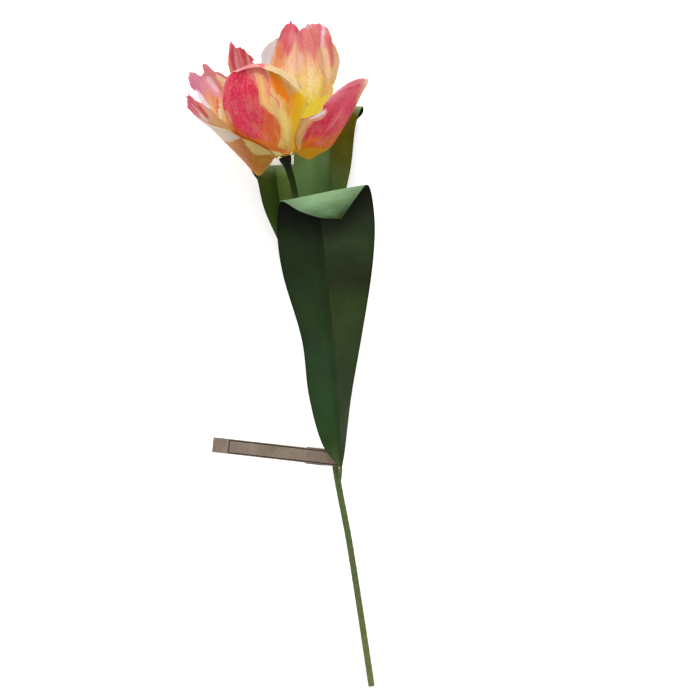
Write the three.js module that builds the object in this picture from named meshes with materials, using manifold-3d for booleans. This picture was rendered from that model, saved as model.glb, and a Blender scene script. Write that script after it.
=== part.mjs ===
// A parrot tulip made by hand of paper, lying on its back on a table: six crepe petals, a pistil and
// six stamens on a taped wire stem, three folded card leaves and a paper label looped round the stem.
// Millimetres, +Z up. The stem runs along Y with the bloom at +Y, and the table is the plane z = 0.
// Shapes are given from the flower's receptacle, the point where the petals meet, in x and y, and
// from the table in z. The last lines move the origin to the middle of the flower's outline.
import * as THREE from "three";
import { mergeVertices } from "three/addons/utils/BufferGeometryUtils.js";
import Module from "manifold-3d";

// ---------- driving dimensions ----------
const RECEPTACLE = [13, 176, 48]; // its place from the part's origin
const PETAL_THICKNESS = 0.8;
const LEAF_THICKNESS = 0.8;
const PETAL_COLUMNS = 20;
const PETAL_ROWS = 20;
const LEAF_COLUMNS = 6;
const LEAF_ROWS = 24;

const STEM_RADIUS = 2.8;
const BORE_RADIUS = 1.7;
const WIRE_RADIUS = 1.25;
const STEM_SIDES = 10;
const WIRE_SIDES = 8;
const STEM_STEPS = 30;
const BRANCH_RADIUS = 1.6;
const HEAD_TOP = -1; // along y, just under the feet of the petals

const LABEL_WIDTH = 13;
const LABEL_TAIL_WIDTH = 14.5;
const LABEL_THICKNESS = 0.6;
const LABEL_TURN = THREE.MathUtils.degToRad(-15.4); // from the x axis
const LABEL_CENTRE = [-1.3, -261.4, 23.2]; // where the stem passes through the loop

// ---------- colours ----------
const matte = (color) => new THREE.MeshStandardMaterial({ color, roughness: 0.85, metalness: 0 });
const PINK_PAPER = matte(0xd0506a);
const PEACH_PAPER = matte(0xe8a868);
const LEAF_CARD = matte(0x3c5a34);
const STEM_TAPE = matte(0x55702c);
const KRAFT = matte(0xb09a82);
const PISTIL_PAPER = matte(0xb8bf4a);
const STAMEN_PAPER = matte(0x4a3a22);
const STEEL = new THREE.MeshStandardMaterial({ color: 0x8c8c8c, roughness: 0.4, metalness: 1 });

// ---------- the petals ----------
// A blade is spanned by three curves from foot to tip, its left edge, its rib and its right edge.
// crease runs from 0, a round section, to 1, two flat halves folded at the rib. tip gives, from the
// left edge (-1) to the right edge (1), how far the torn tip goes up the curves, and the margins
// give, from the foot (0) to the tip (1), how far the paper goes out towards either edge. A pleat is
// a ridge at a place across the blade, with its width, its height and where it starts and is full.
const PETALS = {
  petal_front: {
    left: [
      [-3.5, -0.3, 51.5], [-15, 1.5, 56], [-33, 12, 60], [-42, 31, 69], [-44, 53, 76], [-36, 68, 84],
      [-29, 70, 92], [-27, 68, 97],
    ],
    rib: [
      [-1, -0.3, 52], [-2, 4, 66], [-6, 15, 82], [-11, 31, 96], [-11, 47, 101], [-8, 62, 100],
      [-5, 71.5, 98], [-4, 66, 105],
    ],
    right: [
      [1.5, -0.3, 52.5], [9, 3, 59], [10, 12, 71], [17, 23, 77], [25, 36, 79], [24.5, 47, 84],
      [20, 56, 92], [20.5, 45, 98],
    ],
    tip: [
      [-1, 1], [-0.84, 0.985], [-0.7, 0.992], [-0.45, 1], [-0.3, 0.985], [-0.15, 0.978], [0.05, 1],
      [0.28, 0.99], [0.45, 0.98], [0.7, 0.992], [0.85, 1.005], [1, 0.99],
    ],
  },
  petal_right: {
    crease: 0.55,
    left: [
      [4.3, -0.5, 52], [6.8, 1.2, 55], [8.3, 7, 57.5], [9.5, 16, 63], [16.5, 25, 70.5], [36, 28, 78],
      [49, 40, 80], [63, 49, 76], [77, 51, 70],
    ],
    rib: [
      [5.1, -0.5, 49], [8.5, 0.4, 49], [18.5, -6.6, 51], [28.5, -3.8, 54], [39, 0, 58], [52.5, 14, 62],
      [63, 27, 65], [72, 39, 67], [79, 48, 67],
    ],
    right: [
      [5.6, -0.5, 46.5], [8.5, 0.8, 44.5], [15, 0, 39], [24, 6, 31], [35, 14, 27], [47, 24, 28],
      [58, 34, 34], [67, 41, 44], [77, 46, 56],
    ],
    tip: [
      [-1, 0.995], [-0.8, 1], [-0.6, 1.005], [-0.3, 1], [-0.14, 1.012], [0, 1], [0.3, 0.97],
      [0.5, 0.95], [0.75, 0.97], [1, 0.98],
    ],
    leftMargin: [
      [0, 1], [0.28, 1], [0.36, 1.1], [0.44, 1.05], [0.5, 1.03], [0.54, 0.96], [0.6, 0.97],
      [0.64, 0.98], [0.66, 1.06], [0.71, 1.04], [0.76, 1], [0.86, 0.98], [0.9, 0.96], [0.96, 1.02],
      [1, 1],
    ],
  },
  petal_left_low: {
    crease: 0.5,
    left: [
      [-6.6, 0, 46], [-8.5, 0.8, 43], [-13, 6, 38], [-23, 21, 29], [-37, 34, 24], [-49, 46, 24],
      [-59, 55, 28], [-66, 61, 34], [-73, 65, 44],
    ],
    rib: [
      [-6, 0, 49], [-8.5, 0.6, 49], [-17, -8, 49], [-26, -13, 50], [-37, 2, 51], [-49, 19, 51],
      [-59, 33, 51], [-68, 44, 52], [-75, 56, 53],
    ],
    right: [
      [-5.8, -0.1, 50.5], [-8, -1.7, 55], [-13, 4, 66], [-24, 12.5, 72], [-34.6, 18.9, 72.5],
      [-46, 26, 71], [-56, 33, 68], [-66, 41, 63], [-75, 52, 57],
    ],
    tip: [
      [-1, 1.03], [-0.9, 1], [-0.75, 1.01], [-0.6, 1.02], [-0.4, 1.005], [-0.2, 1], [0, 0.985],
      [0.25, 1], [0.5, 1], [0.75, 0.985], [1, 1],
    ],
    leftMargin: [
      [0, 1], [0.7, 1], [0.8, 0.94], [0.86, 0.9], [0.92, 0.86], [0.955, 0.95], [0.98, 0.92],
      [1.02, 1.1],
    ],
    rightMargin: [[0, 1], [0.5, 1], [0.62, 1.05], [0.7, 1], [0.85, 0.95], [0.93, 0.93], [1, 1.08]],
  },
  petal_left_high: {
    crease: 0.1,
    left: [
      [-2, -0.3, 43.5], [-10, 7, 52], [-21, 15, 56], [-34, 25, 61], [-48, 36, 63], [-58, 49, 62],
      [-64, 64, 61], [-71, 78, 60],
    ],
    rib: [
      [-3.5, -0.3, 46], [-9, 16, 38], [-18, 30, 31], [-30, 44, 27], [-39, 56, 27], [-47, 67, 33],
      [-53, 77, 44], [-58, 85, 56],
    ],
    right: [
      [-5, -0.3, 48], [-4, 21, 34], [-13, 38, 26], [-23, 52, 24], [-31, 64, 25], [-36, 73, 31],
      [-39, 77, 40], [-42, 80, 52],
    ],
    tip: [
      [-1, 0.985], [-0.8, 1.007], [-0.64, 0.99], [-0.51, 0.97], [-0.46, 0.935], [-0.36, 0.91],
      [-0.2, 0.915], [-0.08, 0.93], [0, 0.965], [0.07, 1.003], [0.18, 1.02], [0.28, 1.04],
      [0.36, 1.035], [0.42, 1], [0.45, 0.93], [0.55, 0.905], [0.66, 0.92], [0.78, 0.9], [0.85, 0.89],
      [0.93, 0.84], [1, 0.82],
    ],
    leftMargin: [
      [0, 1], [0.5, 1], [0.66, 0.98], [0.76, 1.05], [0.835, 1.06], [0.85, 0.98], [0.87, 1],
      [0.885, 1.12], [0.93, 1.17], [0.97, 1.06], [1, 0.9],
    ],
  },
  petal_back_left: {
    left: [
      [2, -0.5, 41.7], [-6, 13, 36], [-17, 29, 24], [-26, 48, 16], [-31, 63, 17], [-35, 77, 27],
      [-35, 90, 36], [-32, 102, 44],
    ],
    rib: [
      [-1, -0.5, 42.2], [-3, 18, 27], [-10, 35, 12], [-17, 51, 4], [-22, 65, 0.8], [-25, 78, 1.6],
      [-27, 91, 8], [-28, 105, 22],
    ],
    right: [
      [-4, -0.5, 42.7], [1, 20, 31], [-3, 34, 15], [-6, 48, 9], [-8, 61, 8], [-9, 73, 12],
      [-11, 83, 20], [-16, 93, 32],
    ],
    tip: [
      [-1, 1.007], [-0.8, 0.99], [-0.6, 0.985], [-0.45, 1], [-0.3, 1.02], [-0.12, 0.987], [0.04, 0.977],
      [0.2, 0.98], [0.4, 0.993], [0.66, 0.997], [0.78, 0.965], [0.86, 0.955], [0.93, 0.947], [1, 0.93],
    ],
    leftMargin: [
      [0, 1], [0.7, 1], [0.8, 0.95], [0.81, 1.02], [0.87, 0.92], [0.915, 1.05], [0.955, 0.92],
      [0.98, 1.1], [1, 1.05],
    ],
    rightMargin: [[0, 1], [0.86, 1], [0.885, 0.8], [0.9, 0.86], [0.92, 1.04], [0.96, 1], [1, 1]],
  },
  petal_back_right: {
    left: [
      [4.5, -0.3, 46.5], [-1, 15, 38], [-9, 34, 36], [-14, 54, 35], [-14, 73, 36], [-7, 87, 38],
      [4, 99, 42], [18, 113, 46],
    ],
    rib: [
      [2.5, -0.3, 45], [11, 15, 36], [19, 32, 26], [24, 49, 22], [27, 66, 22], [29, 83, 25],
      [30, 97, 31], [30, 112, 39],
    ],
    right: [
      [0.5, -0.3, 43], [18, 14, 46], [35, 26, 52], [48, 41, 54], [55, 58, 54], [58, 73, 54],
      [56, 89, 52], [50, 107, 48],
    ],
    tip: [
      [-1, 0.885], [-0.92, 0.89], [-0.88, 0.915], [-0.85, 0.95], [-0.78, 0.972], [-0.6, 0.985],
      [-0.53, 1.005], [-0.48, 1.003], [-0.41, 0.985], [-0.18, 0.977], [-0.08, 0.965], [-0.02, 0.943],
      [0.08, 0.95], [0.16, 0.957], [0.37, 0.98], [0.58, 0.983], [0.8, 0.98], [0.9, 0.993],
      [0.95, 0.975], [1, 0.95],
    ],
    leftMargin: [
      [0, 1], [0.6, 1], [0.68, 0.96], [0.74, 1.02], [0.82, 1.02], [0.865, 0.93], [0.885, 0.82],
      [0.9, 0.9], [0.93, 1], [1, 1],
    ],
    rightMargin: [
      [0, 0.9], [0.35, 0.74], [0.42, 0.82], [0.46, 0.88], [0.49, 0.88], [0.505, 0.83], [0.53, 0.9],
      [0.57, 0.97], [0.7, 1], [0.81, 1], [0.84, 0.95], [0.9, 0.98], [0.95, 1], [1, 1],
    ],
    pleats: [
      { at: -0.08, width: 0.15, height: 5, from: 0.2, full: 0.6 },
      { at: 0.6, width: 0.1, height: 2.5, from: 0.3, full: 0.7 },
    ],
  },
};

// ---------- the leaves ----------
// Each is a strip of card creased along its rib, whose tip is rolled over: the front leaf's tip
// comes forward over its own face, and the rear leaves' tips are tucked under, down to the table.
// creaseEnd says between which heights the crease runs out into the roll.
const LEAVES = {
  leaf_front: {
    left: [
      [2.5, -271, 30], [-9.5, -246, 37], [-13.5, -204, 50], [-11.5, -156, 58], [-18, -101, 66],
      [-17, -65, 72], [-12, -45, 78], [-8, -41, 85], [5, -52, 91], [21, -60, 91], [35, -63, 89],
    ],
    rib: [
      [3, -271, 30.5], [6, -250, 39], [11, -205, 56], [15, -157, 68], [18, -111, 76], [20, -78, 80],
      [22, -55, 84], [28, -40, 88], [32, -48, 95], [34, -57, 94], [36, -63, 89],
    ],
    right: [
      [3.5, -271, 30], [9, -255, 36], [22, -210, 50], [39, -161, 58], [55, -113, 66], [64, -76, 72],
      [66, -48, 78], [63, -39, 85], [53, -48, 92], [45, -56, 92], [37, -64, 89],
    ],
    creaseEnd: [0.62, 0.7],
  },
  leaf_rear_right: {
    left: [
      [4, -200, 25], [-2, -181, 21], [-4, -140, 20], [-3, -88, 18], [1, -40, 17], [6, -1, 16],
      [13, 28, 15], [21, 43, 12], [28, 35, 5], [35, 24, 2], [43, 10, 1],
    ],
    rib: [
      [4.5, -200, 24.5], [7, -181, 17], [13, -143, 10], [21, -91, 5], [30, -44, 3], [37, -5, 4],
      [43, 24, 7], [48, 40, 11], [46, 31, 4], [45, 20, 1], [44, 10, 0.2],
    ],
    right: [
      [5.5, -200, 25], [12, -183, 21], [20, -144, 20], [31, -94, 18], [42, -47, 17], [54, -14, 16],
      [63, 18, 14], [71.5, 34.5, 13], [71.5, 30, 5.5], [59, 21, 2], [45, 10, 1],
    ],
    creaseEnd: [0.62, 0.72],
  },
  leaf_rear_left: {
    left: [
      [-2.5, -224, 22], [-6, -199, 19], [-7, -162, 18], [-10, -113, 17], [-17, -75, 17], [-26, -40, 16],
      [-28, -13, 15], [-30.5, -1, 12], [-32, -4.5, 5.5], [-25, -18, 2], [-15, -35, 1],
    ],
    rib: [
      [-2, -224, 21.5], [-2, -200, 12], [-4, -162, 7], [-5, -113, 3], [-8, -75, 1.5], [-12, -41, 2],
      [-12, -15, 4], [-10, -3, 10], [-11, -11, 2], [-13, -23, 0.2], [-14, -35, 0.2],
    ],
    right: [
      [-1.5, -224, 22], [3, -201, 13], [2, -163, 9], [2, -115, 7], [2, -78, 7], [1, -44, 9],
      [3, -18, 12], [6, -5, 11], [1, -14, 5], [-6, -25, 2], [-13, -35, 1],
    ],
    creaseEnd: [0.62, 0.7],
  },
};

// ---------- the stem ----------
const STEM_PATH = [
  [-0.8, -0.9, 48], [1, -14, 47], [2.5, -30, 46], [3, -81.5, 42], [1, -167.5, 33], [-1.5, -263, 23],
  [-1.5, -292, 19], [-1, -311.5, 17], [-0.5, -338.5, 14.5], [-1, -399, 8.5], [-2, -464, 2.6],
];
const LEAF_BRANCHES = [
  [[-1.7, -286, 20.5], [0.5, -279, 25.5], [2.7, -271.4, 30]], // under the front leaf
  [[0.3, -212, 27.6], [2, -206, 26.8], [4.4, -200.5, 25]], // to the rear right leaf
  [[-1.2, -238, 25], [-1.8, -231, 24], [-2, -224.5, 22]], // to the rear left leaf
];
const HEAD_PROFILE = [
  // radius and height along the stem, from the neck up to the flange under the petals
  [0, -12], [2.5, -12], [2.9, -9.5], [3.5, -7.5], [4.4, -5.5], [5, -3.5], [5.5, -2], [5.6, HEAD_TOP],
  [0, HEAD_TOP],
];
const HEAD_LEAN = THREE.MathUtils.degToRad(3);

// ---------- pistil and stamens ----------
const PISTIL_PROFILE = [
  [0, 0], [1.1, 0], [1.3, 3], [2.9, 8], [3.1, 14], [2.4, 19], [2.1, 20.5], [3.4, 22.5], [2.8, 24.5],
  [0, 24],
];
const STAMEN_PROFILE = [
  [0, 0], [0.7, 0], [0.6, 12], [0.8, 13], [1.5, 14], [1.6, 20], [1.1, 23.5], [0, 24.5],
];
const STAMEN_COUNT = 6;
const STAMEN_RING = 2.7;
const STAMEN_LEAN = THREE.MathUtils.degToRad(13);
const FEET_HEIGHT = -0.3;

// ---------- the label ----------
// Its middle line, seen along the strip's width: distance along the strip from the stem's centre,
// and height above that centre.
const LABEL_FRONT = [
  [-106, -8], [-75, -4.6], [-45, -0.9], [-22, 2.2], [-8, 4], [0, 4.3], [4.2, 3.2], [5.4, 0],
];
const LABEL_BACK = [[5.4, 0.2], [4.6, -3.2], [0, -4.7], [-4.9, -3], [-8.6, 1.4]];
const LABEL_TAIL = [-12, -18, -24.5]; // where the end of the strip is glued behind its front
const LABEL_OVERLAP = 0.5;

const wasm = await Module();
wasm.setup();

const vector = ([x, y, z]) => new THREE.Vector3(x, y, z);
const curveOf = (points) => new THREE.CatmullRomCurve3(points.map(vector), false, "catmullrom", 0.5);

// A closed geometry as a solid that can be joined and cut, and back.
function solidOf(geometry) {
  const bare = geometry.clone();
  bare.deleteAttribute("normal");
  bare.deleteAttribute("uv");
  const merged = mergeVertices(bare, 1e-3);
  return new wasm.Manifold(
    new wasm.Mesh({
      numProp: 3,
      vertProperties: new Float32Array(merged.attributes.position.array),
      triVerts: new Uint32Array(merged.index.array),
    }),
  );
}

function geometryOf(solid) {
  const mesh = solid.getMesh();
  const geometry = new THREE.BufferGeometry();
  geometry.setAttribute("position", new THREE.BufferAttribute(mesh.vertProperties, 3));
  geometry.setIndex(new THREE.BufferAttribute(mesh.triVerts, 1));
  geometry.computeVertexNormals();
  return geometry;
}

// What would lie under the table is taken off, which leaves a small flat to rest on.
function flatOnTable(geometry) {
  const under = new THREE.BoxGeometry(400, 800, 20).translate(0, -200, -10);
  return geometryOf(solidOf(geometry).subtract(solidOf(under)));
}

// ---------- blades ----------
function between(pairs, at) {
  const next = pairs.findIndex(([place]) => place >= at);
  if (next <= 0) return pairs.at(next)[1];
  const [fromPlace, fromValue] = pairs[next - 1];
  const [toPlace, toValue] = pairs[next];
  return THREE.MathUtils.mapLinear(at, fromPlace, toPlace, fromValue, toValue);
}

// The blade's middle surface: across runs from -1 to 1, along from 0 to 1.
function middleOf({ left, rib, right, crease = 0, creaseEnd, pleats = [] }) {
  const curves = [left, rib, right].map(curveOf);
  const creaseAt = (along) => (creaseEnd ? 1 - THREE.MathUtils.smoothstep(along, ...creaseEnd) : crease);

  function plain(across, along) {
    const [l, m, r] = curves.map((curve) => curve.getPoint(along));
    const round = new THREE.Vector3()
      .addScaledVector(l, (across * (across - 1)) / 2)
      .addScaledVector(m, 1 - across * across)
      .addScaledVector(r, (across * (across + 1)) / 2);
    const folded = m.clone().lerp(across < 0 ? l : r, Math.abs(across));
    return round.lerp(folded, creaseAt(along));
  }

  function normalOf(surface, across, along) {
    const step = 2e-3;
    const low = Math.max(along - step, 0);
    const high = Math.min(along + step, 1);
    const acrossWay = surface(across + step, along).sub(surface(across - step, along));
    const alongWay = surface(across, high).sub(surface(across, low));
    return acrossWay.cross(alongWay).normalize();
  }

  function pleated(across, along) {
    const point = plain(across, along);
    const normal = normalOf(plain, across, along);
    for (const { at, width, height, from, full } of pleats) {
      const rise = THREE.MathUtils.clamp((along - from) / (full - from), 0, 1);
      point.addScaledVector(normal, height * rise * Math.exp(-(((across - at) / width) ** 2)));
    }
    return point;
  }

  const surface = pleats.length ? pleated : plain;
  return { surface, normal: (across, along) => normalOf(surface, across, along) };
}

// Where a point of the grid, from -1 to 1 across and from 0 to 1 along, lies on the blade once its
// tip and its margins are torn.
const STRAIGHT = [[-10, 1], [10, 1]];
const TIP_REACH = 5; // the higher, the nearer to the tip the curves start to follow it
const MARGIN_REACH = 3;

function torn({ tip = STRAIGHT, leftMargin = STRAIGHT, rightMargin = STRAIGHT }, across, height) {
  const along = height + (between(tip, across) - 1) * height ** TIP_REACH;
  const margin = between(across < 0 ? leftMargin : rightMargin, along);
  return [across * (1 + (margin - 1) * Math.abs(across) ** MARGIN_REACH), along];
}

// A blade as a closed sheet: the same triangles on both faces, and a rim round the edge.
function bladeGeometry(blade, columns, rows, thickness) {
  const { surface, normal } = middleOf(blade);
  const positions = [];
  for (const side of [0.5, -0.5]) {
    for (let row = 0; row <= rows; row++) {
      for (let column = 0; column <= columns; column++) {
        const [across, along] = torn(blade, (2 * column) / columns - 1, row / rows);
        const point = surface(across, along);
        point.addScaledVector(normal(across, along), side * thickness);
        positions.push(point.x, point.y, point.z);
      }
    }
  }
  const width = columns + 1;
  const back = width * (rows + 1);
  const indices = [];
  for (let row = 0; row < rows; row++) {
    for (let column = 0; column < columns; column++) {
      const a = row * width + column;
      const b = a + 1;
      const c = b + width;
      const d = a + width;
      indices.push(a, b, c, a, c, d);
      indices.push(back + a, back + c, back + b, back + a, back + d, back + c);
    }
  }
  const rim = [];
  for (let column = 0; column < columns; column++) rim.push(column);
  for (let row = 0; row < rows; row++) rim.push(row * width + columns);
  for (let column = columns; column > 0; column--) rim.push(rows * width + column);
  for (let row = rows; row > 0; row--) rim.push(row * width);
  rim.forEach((here, i) => {
    const next = rim[(i + 1) % rim.length];
    indices.push(here, back + here, back + next, here, back + next, next);
  });
  const geometry = new THREE.BufferGeometry();
  geometry.setAttribute("position", new THREE.Float32BufferAttribute(positions, 3));
  geometry.setIndex(indices);
  geometry.computeVertexNormals();
  return geometry;
}

// ---------- tubes and turned pieces ----------
function tube(points, radius, sides, steps) {
  const section = new THREE.Shape().absarc(0, 0, radius, 0, 2 * Math.PI);
  return new THREE.ExtrudeGeometry(section, {
    steps,
    curveSegments: sides / 2,
    bevelEnabled: false,
    extrudePath: curveOf(points),
  });
}

const turned = (profile, sides) =>
  new THREE.LatheGeometry(profile.map(([radius, height]) => new THREE.Vector2(radius, height)), sides);

// ---------- the pieces ----------
const flower = new THREE.Group();

function addPiece(name, geometry, material) {
  const mesh = new THREE.Mesh(geometry, material);
  mesh.name = name;
  flower.add(mesh);
  return mesh;
}

for (const [name, petal] of Object.entries(PETALS)) {
  const sheet = bladeGeometry(petal, PETAL_COLUMNS, PETAL_ROWS, PETAL_THICKNESS);
  const onTable = name === "petal_back_left";
  const paper = name.includes("back") ? PEACH_PAPER : PINK_PAPER;
  addPiece(name, onTable ? flatOnTable(sheet) : sheet, paper);
}

for (const [name, leaf] of Object.entries(LEAVES)) {
  const sheet = bladeGeometry(leaf, LEAF_COLUMNS, LEAF_ROWS, LEAF_THICKNESS);
  addPiece(name, name === "leaf_front" ? sheet : flatOnTable(sheet), LEAF_CARD);
}

// The taped stem: the tube, the flared head and the three short branches, with the wire's bore,
// which ends blind under the head and is open at the cut end.
const WIRE_PATH = STEM_PATH.slice(1);
const cutEnd = vector(STEM_PATH.at(-1));
const beyondEnd = cutEnd.clone().addScaledVector(curveOf(STEM_PATH).getTangent(1), 2).toArray();
const head = turned(HEAD_PROFILE, 16).rotateZ(HEAD_LEAN).translate(STEM_PATH[0][0], 0, STEM_PATH[0][2]);
let stem = solidOf(tube(STEM_PATH, STEM_RADIUS, STEM_SIDES, STEM_STEPS)).add(solidOf(head));
for (const branch of LEAF_BRANCHES) stem = stem.add(solidOf(tube(branch, BRANCH_RADIUS, 8, 4)));
const bore = tube([...WIRE_PATH, beyondEnd], BORE_RADIUS, WIRE_SIDES, STEM_STEPS);
addPiece("stem_tape", flatOnTable(geometryOf(stem.subtract(solidOf(bore)))), STEM_TAPE);

const wireTop = curveOf(WIRE_PATH).getPoint(0.004).toArray();
const wire = tube([wireTop, ...WIRE_PATH.slice(1)], WIRE_RADIUS, WIRE_SIDES, STEM_STEPS);
addPiece("stem_wire", wire, STEEL);

addPiece("pistil", turned(PISTIL_PROFILE, 12), PISTIL_PAPER).position.set(0, FEET_HEIGHT, STEM_PATH[0][2]);

for (let i = 0; i < STAMEN_COUNT; i++) {
  const turn = (i / STAMEN_COUNT) * 2 * Math.PI;
  const place = new THREE.Group();
  place.position.set(0, FEET_HEIGHT, STEM_PATH[0][2]);
  place.rotation.y = turn;
  const stamen = addPiece(`stamen_${i + 1}`, turned(STAMEN_PROFILE, 8), STAMEN_PAPER);
  stamen.position.x = STAMEN_RING;
  stamen.rotation.z = -STAMEN_LEAN;
  place.add(stamen);
  flower.add(place);
}

// The label: a strip drawn edge on, thickened from its middle line and pushed out to its width.
function ribbon(line, width) {
  const curve = new THREE.CatmullRomCurve3(line.map(([a, h]) => new THREE.Vector3(a, h, 0)));
  const points = curve.getPoints(line.length * 4);
  const offset = (side) =>
    points.map((point, i) => {
      const way = curve.getTangent(i / (points.length - 1));
      return new THREE.Vector2(point.x - side * way.y, point.y + side * way.x);
    });
  const half = LABEL_THICKNESS / 2;
  const outline = [...offset(-half), ...offset(half).reverse()];
  const settings = { depth: width, bevelEnabled: false };
  return new THREE.ExtrudeGeometry(new THREE.Shape(outline), settings).translate(0, 0, -width / 2);
}

const frontLine = new THREE.CatmullRomCurve3(LABEL_FRONT.map(([a, h]) => new THREE.Vector3(a, h, 0)));
const frontPoints = frontLine.getPoints(200);
const frontHeight = (along) => frontPoints.find((point) => point.x >= along).y;
const tail = LABEL_TAIL.map((along) => [along, frontHeight(along) - LABEL_OVERLAP]);
const loop = solidOf(ribbon([...LABEL_BACK, ...tail], LABEL_TAIL_WIDTH));
const label = geometryOf(solidOf(ribbon(LABEL_FRONT, LABEL_WIDTH)).add(loop));
const labelMesh = addPiece("label", label, KRAFT);
labelMesh.rotation.set(Math.PI / 2, 0, LABEL_TURN, "ZYX");
labelMesh.position.set(...LABEL_CENTRE);

const part = new THREE.Group();
flower.position.set(RECEPTACLE[0], RECEPTACLE[1], 0);
part.add(flower);

export default part;
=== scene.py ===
"""The looks of a parrot tulip made by hand of paper: crepe petals brushed with colour, folded card
leaves, a stem wound with tape and a kraft paper label. It lies on its back on a pale floor."""

from math import atan2, cos, pi, radians, sin

import bmesh
import bpy
import numpy as np
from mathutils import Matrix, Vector, noise


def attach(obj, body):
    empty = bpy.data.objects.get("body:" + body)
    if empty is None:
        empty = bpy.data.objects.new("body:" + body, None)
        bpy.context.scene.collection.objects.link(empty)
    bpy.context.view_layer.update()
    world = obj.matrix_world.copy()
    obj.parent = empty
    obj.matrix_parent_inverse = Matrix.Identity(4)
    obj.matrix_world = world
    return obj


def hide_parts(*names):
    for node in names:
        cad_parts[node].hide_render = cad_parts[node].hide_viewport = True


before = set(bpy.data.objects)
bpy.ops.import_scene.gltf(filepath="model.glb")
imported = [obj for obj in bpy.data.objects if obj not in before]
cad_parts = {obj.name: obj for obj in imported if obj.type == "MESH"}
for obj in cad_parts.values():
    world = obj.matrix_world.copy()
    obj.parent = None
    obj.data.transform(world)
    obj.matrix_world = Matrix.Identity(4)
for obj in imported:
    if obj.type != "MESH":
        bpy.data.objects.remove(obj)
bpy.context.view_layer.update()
bpy.ops.object.select_all(action="DESELECT")

# ---------- sizes ----------
MM = 0.001  # the shapes below are given in millimetres, the objects are in metres
RECEPTACLE = (13, 176, 0)  # where the petals meet; x and y are counted from it, z from the floor
FEET = (0, -0.3, 48)  # the foot of the pistil, in the middle of the petals' feet
CREPE = 0.36  # thickness of the petal paper
CARD = 0.5  # and of the leaves
LABEL_PAPER = 0.35
GLOW = 0.45  # how much of the light the petal paper lets through
PETAL_COLUMNS = 110
PETAL_ROWS = 130
LEAF_COLUMNS = 40
LEAF_ROWS = 220
FLOOR_GAP = 0.02  # between the floor and the lowest point of a sheet
TIP_REACH = 5  # the higher, the nearer to the tip the curves start to follow it
NICK_REACH = 12
MARGIN_REACH = 3  # the higher, the nearer to the edge the paper starts to follow its margin
STRAIGHT = [(0, 1), (1, 1)]  # a margin that follows the edge
RIGHT_PHASE = 0.37  # of a wave, by which the right edge's ruffle is ahead of the left's
WRINKLES = [(0.6, 2.2, 3, 0), (0.22, 7, 6, 5), (0.05, 18, 5, 7)]  # height, times across, along, seed

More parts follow.
